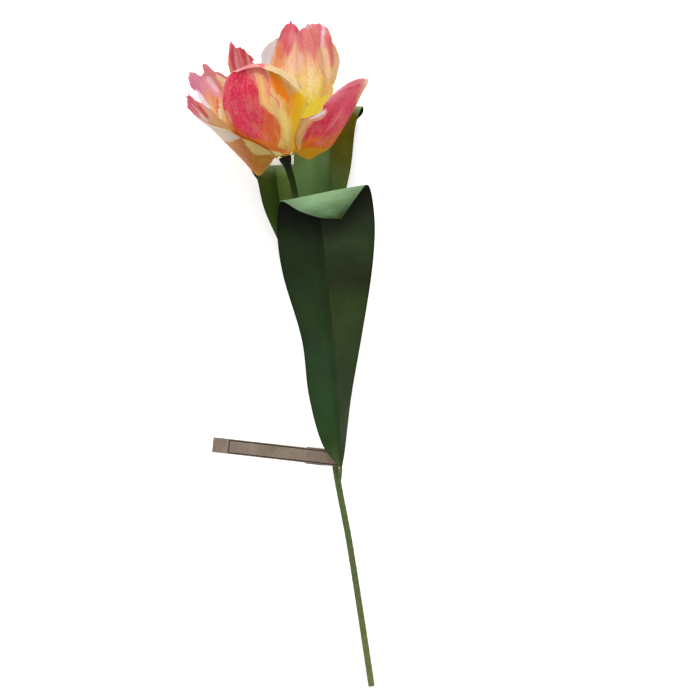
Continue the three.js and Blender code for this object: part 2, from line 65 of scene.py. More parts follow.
# ---------- the petals ----------
# A petal is spanned by its left edge, its rib and its right edge, each from foot to tip. crease
# runs from 0, a round section, to 1, two flat halves. tip says how far the torn end reaches up, at
# places from the left edge (-1) to the right edge (1). left_margin and right_margin say how far
# out the paper goes, at heights from foot (0) to tip (1). A pleat is a ridge at a place across, which
# may lean to the right near the tip.
PETALS = {
    "petal_front": {
        "left": [
            (-3.5, -0.3, 51.5), (-15, 1.5, 56), (-33, 12, 60), (-42, 31, 69), (-44, 53, 76), (-36, 68, 84),
            (-29, 70, 92), (-27, 68, 97),
        ],
        "rib": [
            (-1, -0.3, 52), (-2, 4, 66), (-6, 15, 82), (-11, 31, 96), (-11, 47, 101), (-8, 62, 100),
            (-5, 71.5, 98), (-4, 66, 105),
        ],
        "right": [
            (1.5, -0.3, 52.5), (9, 3, 59), (10, 12, 71), (17, 23, 77), (25, 36, 79), (24.5, 47, 84),
            (20, 56, 92), (20.5, 45, 98),
        ],
        "tip": [
            (-1, 1), (-0.84, 0.985), (-0.7, 0.992), (-0.45, 1), (-0.3, 0.985), (-0.15, 0.978), (0.05, 1),
            (0.28, 0.99), (0.45, 0.98), (0.7, 0.992), (0.85, 1.005), (1, 0.99),
        ],
        "right_margin": [
            (0, 1), (0.45, 1), (0.49, 1.025), (0.53, 0.985), (0.57, 1.03), (0.62, 1), (0.66, 1.025),
            (0.7, 0.985), (0.76, 1),
        ],
        "nicks": 0.007,
        "ruffle": (0.5, 4.5, 0.2),
    },
    "petal_right": {
        "crease": 0.55,
        "left": [
            (4.3, -0.5, 52), (6.8, 1.2, 55), (8.3, 7, 57.5), (9.5, 16, 63), (16.5, 25, 70.5), (36, 28, 78),
            (49, 40, 80), (63, 49, 76), (77, 51, 70),
        ],
        "rib": [
            (5.1, -0.5, 49), (8.5, 0.4, 49), (18.5, -6.6, 51), (28.5, -3.8, 54), (39, 0, 58),
            (52.5, 14, 62), (63, 27, 65), (72, 39, 67), (79, 48, 67),
        ],
        "right": [
            (5.6, -0.5, 46.5), (8.5, 0.8, 44.5), (15, 0, 39), (24, 6, 31), (35, 14, 27), (47, 24, 28),
            (58, 34, 34), (67, 41, 44), (77, 46, 56),
        ],
        "tip": [
            (-1, 0.985), (-0.8, 0.99), (-0.6, 1.0), (-0.4, 1.008), (-0.2, 1.012), (-0.1, 0.995),
            (0.05, 1.005), (0.2, 0.965), (0.35, 0.955), (0.5, 0.965), (0.75, 0.96), (1, 0.97),
        ],
        "left_margin": [
            (0, 1), (0.28, 1), (0.36, 1.1), (0.44, 1.05), (0.5, 1.03), (0.54, 0.98), (0.6, 1), (0.64, 1.02),
            (0.66, 1.09), (0.71, 1.06), (0.76, 1.02), (0.86, 0.98), (0.9, 0.96), (0.96, 1.02), (1, 1),
        ],
        "nicks": 0.006,
        "ruffle": (0.4, 3.5, 0.1),
    },
    "petal_left_low": {
        "crease": 0.5,
        "left": [
            (-6.6, 0, 46), (-8.5, 0.8, 43), (-13, 6, 38), (-23, 21, 29), (-37, 34, 24), (-49, 46, 24),
            (-59, 55, 28), (-66, 61, 34), (-73, 65, 44),
        ],
        "rib": [
            (-6, 0, 49), (-8.5, 0.6, 49), (-17, -8, 49), (-26, -13, 50), (-37, 2, 51), (-49, 19, 51),
            (-59, 33, 51), (-68, 44, 52), (-75, 56, 53),
        ],
        "right": [
            (-5.8, -0.1, 50.5), (-8, -1.7, 55), (-13, 4, 66), (-24, 12.5, 72), (-34.6, 18.9, 72.5),
            (-46, 26, 71), (-56, 33, 68), (-66, 41, 63), (-75, 52, 57),
        ],
        "tip": [
            (-1, 1.03), (-0.9, 1.0), (-0.75, 1.01), (-0.6, 1.02), (-0.4, 1.005), (-0.2, 1.0), (0, 0.985),
            (0.25, 1), (0.5, 1), (0.75, 0.985), (1, 1),
        ],
        "left_margin": [
            (0, 1), (0.7, 1), (0.8, 0.94), (0.86, 0.9), (0.92, 0.86), (0.955, 0.95), (0.98, 0.92),
            (1.02, 1.1),
        ],
        "right_margin": [(0, 1), (0.5, 1), (0.62, 1.05), (0.7, 1), (0.85, 0.95), (0.93, 0.93), (1, 1.08)],
        "nicks": 0.012,
        "ruffle": (0.5, 3.2, 0.4),
    },
    "petal_left_high": {
        "crease": 0.1,
        "left": [
            (-2, -0.3, 43.5), (-10, 7, 52), (-21, 15, 56), (-34, 25, 61), (-48, 36, 63), (-58, 49, 62),
            (-64, 64, 61), (-71, 78, 60),
        ],
        "rib": [
            (-3.5, -0.3, 46), (-9, 16, 38), (-18, 30, 31), (-30, 44, 27), (-39, 56, 27), (-47, 67, 33),
            (-53, 77, 44), (-58, 85, 56),
        ],
        "right": [
            (-5, -0.3, 48), (-4, 21, 34), (-13, 38, 26), (-23, 52, 24), (-31, 64, 25), (-36, 73, 31),
            (-39, 77, 40), (-42, 80, 52),
        ],
        "tip": [
            (-1, 0.985), (-0.8, 1.007), (-0.64, 0.99), (-0.51, 0.97), (-0.46, 0.935), (-0.36, 0.91),
            (-0.2, 0.915), (-0.08, 0.93), (0, 0.965), (0.07, 1.003), (0.18, 1.02), (0.28, 1.04),
            (0.36, 1.035), (0.42, 1), (0.45, 0.93), (0.55, 0.905), (0.66, 0.92), (0.78, 0.9), (0.85, 0.89),
            (0.93, 0.84), (1, 0.82),
        ],
        "left_margin": [
            (0, 1), (0.5, 1), (0.66, 0.98), (0.76, 1.05), (0.835, 1.06), (0.85, 0.98), (0.87, 1.0),
            (0.885, 1.12), (0.93, 1.17), (0.97, 1.06), (1, 0.9),
        ],
        "nicks": 0.014,
        "ruffle": (0.7, 3, 0.3),
    },
    "petal_back_left": {
        "left": [
            (2, -0.5, 41.7), (-6, 13, 36), (-17, 29, 24), (-26, 48, 16), (-31, 63, 17), (-35, 77, 27),
            (-35, 90, 36), (-32, 102, 44),
        ],
        "rib": [
            (-1, -0.5, 42.2), (-3, 18, 27), (-10, 35, 12), (-17, 51, 4), (-22, 65, 0.8), (-25, 78, 1.6),
            (-27, 91, 8), (-28, 105, 22),
        ],
        "right": [
            (-4, -0.5, 42.7), (1, 20, 31), (-3, 34, 15), (-6, 48, 9), (-8, 61, 8), (-9, 73, 12),
            (-11, 83, 20), (-16, 93, 32),
        ],
        "tip": [
            (-1, 0.985), (-0.85, 1.0), (-0.7, 0.99), (-0.5, 1), (-0.35, 1.012), (-0.2, 0.99), (0.04, 0.975),
            (0.2, 0.98), (0.4, 0.993), (0.66, 0.997), (0.78, 0.965), (0.86, 0.955), (0.93, 0.947),
            (1, 0.93),
        ],
        "left_margin": [
            (0, 1), (0.7, 1), (0.8, 0.95), (0.81, 1.02), (0.87, 0.95), (0.915, 1.1), (0.94, 0.98),
            (0.955, 1.35), (0.985, 1.25), (1, 1.3),
        ],
        "right_margin": [(0, 1), (0.86, 1), (0.885, 0.78), (0.9, 0.84), (0.92, 0.96), (0.96, 0.98), (1, 1)],
        "nicks": 0.014,
        "ruffle": (0.5, 3.4, 0),
    },
    "petal_back_right": {
        "left": [
            (4.5, -0.3, 46.5), (-1, 15, 38), (-9, 34, 36), (-14, 54, 35), (-14, 73, 36), (-7, 87, 38),
            (4, 99, 42), (18, 113, 46),
        ],
        "rib": [
            (2.5, -0.3, 45), (11, 15, 36), (19, 32, 26), (24, 49, 22), (27, 66, 22), (29, 83, 25),
            (30, 97, 31), (30, 112, 39),
        ],
        "right": [
            (0.5, -0.3, 43), (18, 14, 46), (35, 26, 52), (48, 41, 54), (55, 58, 54), (58, 73, 54),
            (56, 89, 52), (50, 107, 48),
        ],
        "tip": [
            (-1, 0.885), (-0.92, 0.89), (-0.88, 0.915), (-0.85, 0.95), (-0.78, 0.972), (-0.6, 0.985),
            (-0.53, 1.005), (-0.48, 1.003), (-0.41, 0.985), (-0.18, 0.977), (-0.08, 0.965), (-0.02, 0.943),
            (0.08, 0.95), (0.16, 0.957), (0.37, 0.98), (0.58, 0.983), (0.8, 0.98), (0.9, 0.993),
            (0.95, 0.975), (1, 0.95),
        ],
        "left_margin": [
            (0, 1), (0.6, 1), (0.68, 0.96), (0.74, 1.02), (0.82, 1.02), (0.865, 0.93), (0.885, 0.82),
            (0.9, 0.9), (0.93, 1), (1, 1),
        ],
        "right_margin": [
            (0, 0.9), (0.35, 0.74), (0.42, 0.82), (0.46, 0.88), (0.49, 0.88), (0.505, 0.83), (0.53, 0.9),
            (0.57, 0.97), (0.7, 1), (0.81, 1), (0.84, 0.95), (0.9, 0.98), (0.95, 1), (1, 1),
        ],
        "pleats": [
            {"at": -0.08, "width": 0.15, "height": 5, "from": 0.2, "full": 0.6},
            {"at": 0.6, "lean": 1.6, "width": 0.1, "height": 2.5, "from": 0.3, "full": 0.7},
        ],
        "nicks": 0.008,
        "ruffle": (0.6, 4, 0.6),
    },
}

# ---------- the leaves ----------
LEAVES = {
    "leaf_front": {
        "left": [
            (2.5, -271, 30), (-9.5, -246, 37), (-13.5, -204, 50), (-11.5, -156, 58), (-18, -101, 66),
            (-17, -65, 72), (-12, -45, 78), (-8, -41, 85), (5, -52, 91), (21, -60, 91), (35, -63, 89),
        ],
        "rib": [
            (3, -271, 30.5), (6, -250, 39), (11, -205, 56), (15, -157, 68), (18, -111, 76), (20, -78, 80),
            (22, -55, 84), (28, -40, 88), (32, -48, 95), (34, -57, 94), (36, -63, 89),
        ],
        "right": [
            (3.5, -271, 30), (9, -255, 36), (22, -210, 50), (39, -161, 58), (55, -113, 66), (64, -76, 72),
            (66, -48, 78), (63, -39, 85), (53, -48, 92), (45, -56, 92), (37, -64, 89),
        ],
        "crease_from": (0.62, 0.7),
    },
    "leaf_rear_right": {
        "left": [
            (4, -200, 25), (-2, -181, 21), (-4, -140, 20), (-3, -88, 18), (1, -40, 17), (6, -1, 16),
            (13, 28, 15), (21, 43, 12), (28, 35, 5), (35, 24, 2), (43, 10, 1),
        ],
        "rib": [
            (4.5, -200, 24.5), (7, -181, 17), (13, -143, 10), (21, -91, 5), (30, -44, 3), (37, -5, 4),
            (43, 24, 7), (48, 40, 11), (46, 31, 4), (45, 20, 1), (44, 10, 0.2),
        ],
        "right": [
            (5.5, -200, 25), (12, -183, 21), (20, -144, 20), (31, -94, 18), (42, -47, 17), (54, -14, 16),
            (63, 18, 14), (71.5, 34.5, 13), (71.5, 30, 5.5), (59, 21, 2), (45, 10, 1),
        ],
        "crease_from": (0.62, 0.72),
    },
    "leaf_rear_left": {
        "left": [
            (-2.5, -224, 22), (-6, -199, 19), (-7, -162, 18), (-10, -113, 17), (-17, -75, 17),
            (-26, -40, 16), (-28, -13, 15), (-30.5, -1, 12), (-32, -4.5, 5.5), (-25, -18, 2), (-15, -35, 1),
        ],
        "rib": [
            (-2, -224, 21.5), (-2, -200, 12), (-4, -162, 7), (-5, -113, 3), (-8, -75, 1.5), (-12, -41, 2),
            (-12, -15, 4), (-10, -3, 10), (-11, -11, 2), (-13, -23, 0.2), (-14, -35, 0.2),
        ],
        "right": [
            (-1.5, -224, 22), (3, -201, 13), (2, -163, 9), (2, -115, 7), (2, -78, 7), (1, -44, 9),
            (3, -18, 12), (6, -5, 11), (1, -14, 5), (-6, -25, 2), (-13, -35, 1),
        ],
        "crease_from": (0.62, 0.7),
    },
}

# ---------- the stem ----------
STEM_PATH = [
    (-0.8, -1.0, 48), (1, -14, 47), (2.5, -30, 46), (3, -81.5, 42), (1, -167.5, 33), (-1.5, -263, 23),
    (-1.5, -292, 19), (-1, -311.5, 17), (-0.5, -338.5, 14.5), (-1, -399, 8.5), (-2, -464, 2.6),
]
STEM_RADIUS = 2.75
STEM_LENGTH = 466
BORE_WALL = 0.95  # from the tape's surface to the wire's bore
TAPE_PITCH = 7.5
TAPE_STEP = 0.14  # the overlap's height
HEAD = [  # distance from the receptacle, radius
    (0, 5.5), (1.2, 5.4), (3, 5.0), (4.6, 4.5), (6.5, 3.7), (9, 3.1), (14, 2.9), (22, STEM_RADIUS),
]
LEAF_BRANCHES = [
    [(-1.6, -286, 20.8), (0.5, -279, 25.5), (2.7, -271.2, 30)],
    [(0.4, -212, 27.8), (2, -206, 26.8), (4.4, -200.2, 25)],
    [(-1.1, -238, 25.2), (-1.8, -231, 24), (-2, -224.2, 22)],
]
BRANCH_RADIUS = 1.6
BRANCH_LENGTH = 17  # about, for the winding alone

# ---------- the label ----------
LABEL_TURN = radians(-15.4)
LABEL_CENTRE = (-1.3, -261.4, 23.2)
LABEL_LINE = [  # distance along the strip from the stem's centre, height above that centre
    (-106, -8), (-75, -4.6), (-45, -0.9), (-22, 2.2), (-8, 4), (0, 4.3), (4.2, 3.2), (5.4, 0),
    (4.6, -3.2), (0, -4.7), (-4.9, -3), (-8.6, 0.6), (-12, 2.7), (-18, 2.1), (-24.5, 1.2),
]
LABEL_WIDTH = 13
LABEL_TAIL_WIDTH = 14.5
LABEL_TAIL_START = 112  # along the strip
LABEL_COLUMNS = 12
LABEL_ROWS = 300
RULE_SIDE = 5.3  # from the strip's middle line to the ruled frame
RULE_END = 14.4  # along the strip
CROSS_RULES = (31.0, 52.0)  # thin rules across the strip
BOLD = (0.55, 0.35)  # how far from its middle a rule ends, and how far it is full
THIN = (0.35, 0.15)


# ---------- curves and sheets ----------
def spline(points, t):
    """A Catmull-Rom curve through the points; past its end it runs straight on."""
    p = np.array(points, float)
    p = np.vstack([2 * p[0] - p[1], p, 2 * p[-1] - p[-2]])
    spans = len(points) - 1
    at = np.clip(t, 0, 1) * spans
    i = np.minimum(at.astype(int), spans - 1)
    w = (at - i)[..., None]
    a, b, c, d = p[i], p[i + 1], p[i + 2], p[i + 3]
    on = b + 0.5 * w * (c - a + w * (2 * a - 5 * b + 4 * c - d + w * (3 * (b - c) + d - a)))
    past = np.maximum(t - 1, 0)[..., None] * spans
    return on + past * (p[-2] - p[-3])


def profile(pairs, at):
    return np.interp(at, *np.array(pairs, float).T)


def rise(value, low, high):
    """0 below low, 1 above high, smooth between."""
    t = np.clip((value - low) / (high - low), 0, 1)
    return t * t * (3 - 2 * t)


def torn(pairs, at):
    """A torn edge's line through its points, rounded at each of them."""
    places, values = np.array(pairs, float).T
    i = np.clip(np.searchsorted(places, at) - 1, 0, len(places) - 2)
    share = rise((at - places[i]) / (places[i + 1] - places[i]), 0, 1)
    return values[i] + (values[i + 1] - values[i]) * share


def measured(path):
    """Places along a spline, from 0 to 1, and how far along it each of them lies."""
    places = np.linspace(0, 1, 4001)
    steps = np.linalg.norm(np.diff(spline(path, places), axis=0), axis=1)
    return places, np.concatenate([[0], np.cumsum(steps)])


def evenly(path, share):
    """The spline's place at a share of its length."""
    places, distances = measured(path)
    return np.interp(share * distances[-1], distances, places)


def section(blade, across, along):
    """Places on a petal or leaf, between its three curves: a round section, a folded one or a blend."""
    left, rib, right = (spline(blade[edge], along) for edge in ("left", "rib", "right"))
    s = across[..., None]
    rounded = left * s * (s - 1) / 2 + rib * (1 - s * s) + right * s * (s + 1) / 2
    folded = rib + np.where(s < 0, left - rib, right - rib) * np.abs(s)
    if "crease_from" in blade:
        crease = (1 - rise(along, *blade["crease_from"]))[..., None]
    else:
        crease = blade.get("crease", 0)
    return rounded * (1 - crease) + folded * crease


def normals(blade, across, along, step=2e-3):
    """The directions that stand square on a petal, found from places a small step away."""
    over = section(blade, across + step, along) - section(blade, across - step, along)
    up = section(blade, across, along + step) - section(blade, across, np.maximum(along - step, 0))
    n = np.cross(over, up)
    return n / np.maximum(np.linalg.norm(n, axis=-1, keepdims=True), 1e-9)


def grain(across, along, seed):
    """Smooth noise from -1 to 1 at every point of a sheet."""
    return np.array([noise.noise(Vector((a, b, seed))) for a, b in zip(across, along)])


def grid_sheet(name, columns, rows):
    """A flat grid, and where its points lie across it (-1 to 1) and along it (0 to 1)."""
    bpy.ops.mesh.primitive_grid_add(x_subdivisions=columns, y_subdivisions=rows, size=2)
    sheet = bpy.context.object
    sheet.name = sheet.data.name = name
    flat = np.empty(len(sheet.data.vertices) * 3)
    sheet.data.vertices.foreach_get("co", flat)
    flat = flat.reshape(-1, 3)
    return sheet, flat[:, 0], (flat[:, 1] + 1) / 2


def shape_sheet(sheet, points, across, along, lowest=FLOOR_GAP):
    """Moves the grid's points to their places, none under lowest, and makes across and along its UVs."""
    placed = points + RECEPTACLE
    placed[:, 2] = np.maximum(placed[:, 2], lowest)
    sheet.data.vertices.foreach_set("co", (placed * MM).ravel())
    corners = np.empty(len(sheet.data.loops), int)
    sheet.data.loops.foreach_get("vertex_index", corners)
    uv = np.stack([across[corners] / 2 + 0.5, along[corners]], -1)
    sheet.data.uv_layers[0].data.foreach_set("uv", uv.ravel())
    sheet.data.update()


def thicken(piece, thickness, offset=0.0, rim=1):
    """Gives a sheet its thickness; its other face takes the piece's second material."""
    wall = piece.modifiers.new("wall", "SOLIDIFY")
    wall.thickness = thickness * MM
    wall.offset = offset
    wall.material_offset = 1
    wall.material_offset_rim = rim
    bpy.context.view_layer.objects.active = piece
    bpy.ops.object.modifier_apply(modifier="wall")


def clad(piece, *materials):
    for material in materials:
        piece.data.materials.append(material)


def finish(piece, slot, *nodes, sharp=None):
    """Smooths a piece, lets it ride and hides the nodes it stands for."""
    bpy.ops.object.select_all(action="DESELECT")
    piece.select_set(True)
    bpy.context.view_layer.objects.active = piece
    if sharp:
        bpy.ops.object.shade_smooth_by_angle(angle=radians(sharp))
    else:
        bpy.ops.object.shade_smooth()
    piece.select_set(False)
    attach(piece, "root")
    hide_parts(*nodes)


# ---------- material nodes ----------
def colour(code):
    """A colour from its six hexadecimal digits, as light."""
    levels = [int(code[i : i + 2], 16) / 255 for i in (0, 2, 4)]
    return [v / 12.92 if v <= 0.04045 else ((v + 0.055) / 1.055) ** 2.4 for v in levels] + [1]


class Recipe:
    """A material under construction: one shader, and the nodes that feed it."""

    def __init__(self, name, **numbers):
        self.material = bpy.data.materials.new(name)
        self.material.use_nodes = True
        self.tree = self.material.node_tree
        self.shader = self.tree.nodes["Principled BSDF"]
        for socket, value in numbers.items():
            self.shader.inputs[socket.replace("_", " ")].default_value = value

    def node(self, kind, settings=(), **inputs):
        node = self.tree.nodes.new("ShaderNode" + kind)
        for key, value in dict(settings).items():
            setattr(node, key, value)
        for key, value in inputs.items():
            self.feed(node.inputs[int(key[1:]) if key[1:].isdigit() else key.replace("_", " ")], value)
        return node

    def feed(self, socket, value):
        if isinstance(value, bpy.types.NodeSocket):
            self.tree.links.new(value, socket)
        else:
            socket.default_value = value

    def math(self, operation, a, b=0.0):
        return self.node("Math", {"operation": operation}, _0=a, _1=b).outputs[0]

    def plus(self, a, b):
        return self.math("ADD", a, b)

    def minus(self, a, b):
        return self.math("SUBTRACT", a, b)

    def times(self, a, b):
        return self.math("MULTIPLY", a, b)

    def size(self, a):
        return self.math("ABSOLUTE", a)

    def span(self, value, source, target):
        """Carries a value from the source range to the target range and keeps it there."""
        (low, high), (first, last) = source, target
        return self.node(
            "MapRange", Value=value, From_Min=low, From_Max=high, To_Min=first, To_Max=last
        ).outputs[0]

    def mix(self, share, under, over):
        return self.node("Mix", {"data_type": "RGBA"}, _0=share, _6=under, _7=over).outputs[2]

    def ramp(self, value, stops):
        node = self.node("ValToRGB", Fac=value)
        elements = node.color_ramp.elements
        while len(elements) < len(stops):
            elements.new(0.5)
        for element, (place, code) in zip(elements, stops):
            element.position = place
            element.color = colour(code)
        return node.outputs[0]

    def line(self, value, points):
        """A number that follows a smooth line through the points."""
        node = self.node("FloatCurve", Value=value)
        curve = node.mapping.curves[0]
        curve.points[0].location = points[0]
        curve.points[-1].location = points[-1]
        for point in points[1:-1]:
            curve.points.new(*point)
        for point in curve.points:
            point.handle_type = "AUTO_CLAMPED"
        node.mapping.extend = "HORIZONTAL"
        node.mapping.update()
        return node.outputs[0]

    def step(self, value, low, high):
        settings = {"interpolation_type": "SMOOTHSTEP"}
        return self.node("MapRange", settings, Value=value, From_Min=low, From_Max=high).outputs[0]

    def noise(self, x, y, scale_x, scale_y, seed, detail=2.0):
        """Noise on the sheet, stretched by different scales across and along."""
        place = self.node(
            "CombineXYZ", X=self.times(x, scale_x), Y=self.times(y, scale_y), Z=seed
        ).outputs[0]
        return self.node("TexNoise", Vector=place, Scale=1.0, Detail=detail).outputs["Fac"]

    def sheet_place(self):
        """Where a point lies on its sheet: across from -1 to 1, along from 0 to 1."""
        uv = self.node("SeparateXYZ", Vector=self.node("TexCoord").outputs["UV"])
        return self.span(uv.outputs[0], (0, 1), (-1, 1)), uv.outputs[1]

    def speckle(self, scale, detail):
        """Noise in the object's own space, the same size on every side of it."""
        place = self.node("TexCoord").outputs["Object"]
        return self.node("TexNoise", Vector=place, Scale=scale, Detail=detail).outputs["Fac"]

    def lit(self, tint, light, saturation=1.0):
        """A colour made lighter or darker."""
        return self.node("HueSaturation", Color=tint, Saturation=saturation, Value=light).outputs[0]

    def paint(self, tint):
        self.feed(self.shader.inputs["Base Color"], tint)

    def bump(self, height, strength, distance):
        node = self.node("Bump", Height=height, Strength=strength, Distance=distance * MM)
        self.feed(self.shader.inputs["Normal"], node.outputs[0])


# ---------- petal paper ----------
WIDTH_SHIFT = 0.25  # a brush line's half widths are kept as numbers from 0 to 1


def brush(recipe, under, place, code, soft, strength, line):
    """A stroke of colour that follows a line of (along, across, half width).

    The softer it is, the more it wanders. A strength below nought is a dry brush, which leaves flecks.
    """
    across, along, wander, feather, hold, dry = place
    along = recipe.plus(along, recipe.times(feather, soft * 0.6 + 0.03))
    across = recipe.plus(across, recipe.times(wander, soft * 1.5 + 0.08))
    centre = recipe.line(along, [(t, middle / 2 + 0.5) for t, middle, _ in line])
    width = recipe.line(along, [(t, half / 2 + WIDTH_SHIFT) for t, _, half in line])
    centre = recipe.span(centre, (0, 1), (-1, 1))
    half = recipe.times(recipe.minus(width, WIDTH_SHIFT), 2.0)
    off = recipe.size(recipe.minus(across, centre))
    inside = recipe.step(recipe.minus(half, off), -soft, soft)
    laid = recipe.times(inside, dry if strength < 0 else hold)
    return recipe.mix(recipe.times(laid, abs(strength)), under, colour(code))


def petal_paper(name, seed, wash, strokes):
    """Crepe paper, washed with colour from foot to tip and brushed with strokes."""
    paper = Recipe(
        name, Roughness=0.75, Specular_IOR_Level=0.15, Sheen_Weight=0.1,
        Subsurface_Weight=GLOW, Subsurface_Radius=(1.0, 0.75, 0.6), Subsurface_Scale=0.004,
    )
    across, along = paper.sheet_place()

    def swing(*settings):
        return paper.minus(paper.noise(across, along, *settings), 0.5)

    drift, streak = swing(3.2, 4.0, seed, 4.0), swing(24.0, 3.0, seed + 3.0, 4.0)
    fleck = swing(24.0, 30.0, seed + 6.0, 2.0)
    fine = paper.plus(paper.times(streak, 0.9), paper.times(fleck, 0.4))
    wander = paper.plus(paper.times(drift, 0.7), fine)
    feather = paper.plus(swing(13.0, 5.0, seed + 5.0, 4.0), paper.times(fleck, 0.4))
    blot = paper.plus(swing(11.0, 9.0, seed + 10.0, 5.0), swing(38.0, 9.0, seed + 11.0, 3.0))
    hold = paper.span(blot, (-0.05, 0.3), (1.0, 0.72))
    dry = paper.step(paper.noise(across, along, 30.0, 46.0, seed + 12.0, 4.0), 0.47, 0.68)
    place = across, along, wander, feather, hold, dry
    tint = paper.ramp(paper.plus(along, paper.times(feather, 0.1)), wash)
    for stroke in strokes:
        tint = brush(paper, tint, place, *stroke)
    pale = paper.step(swing(4.5, 7.0, seed + 7.0, 5.0), -0.05, 0.3)
    tint = paper.mix(paper.times(pale, 0.1), tint, colour("F4C8B4"))
    grain = paper.plus(swing(45.0, 4.0, seed + 2.0, 3.0), swing(22.0, 48.0, seed + 9.0, 2.0))
    cloud = paper.plus(swing(5.0, 6.0, seed + 8.0, 4.0), paper.times(grain, 0.8))
    fibre = paper.step(paper.noise(across, along, 70.0, 5.0, seed + 4.0, 2.0), 0.55, 0.75)
    tint = paper.mix(paper.times(fibre, 0.08), tint, colour("FFE6D0"))
    paper.paint(paper.lit(tint, paper.span(cloud, (-0.3, 0.3), (0.72, 0.93)), 1.07))
    ridges = paper.noise(across, along, 60.0, 6.0, seed + 3.0, 2.0)
    crumple = paper.noise(across, along, 9.0, 12.0, seed + 4.0, 3.0)
    paper.bump(paper.plus(ridges, paper.times(crumple, 1.2)), 0.35, 0.5)
    return paper.material


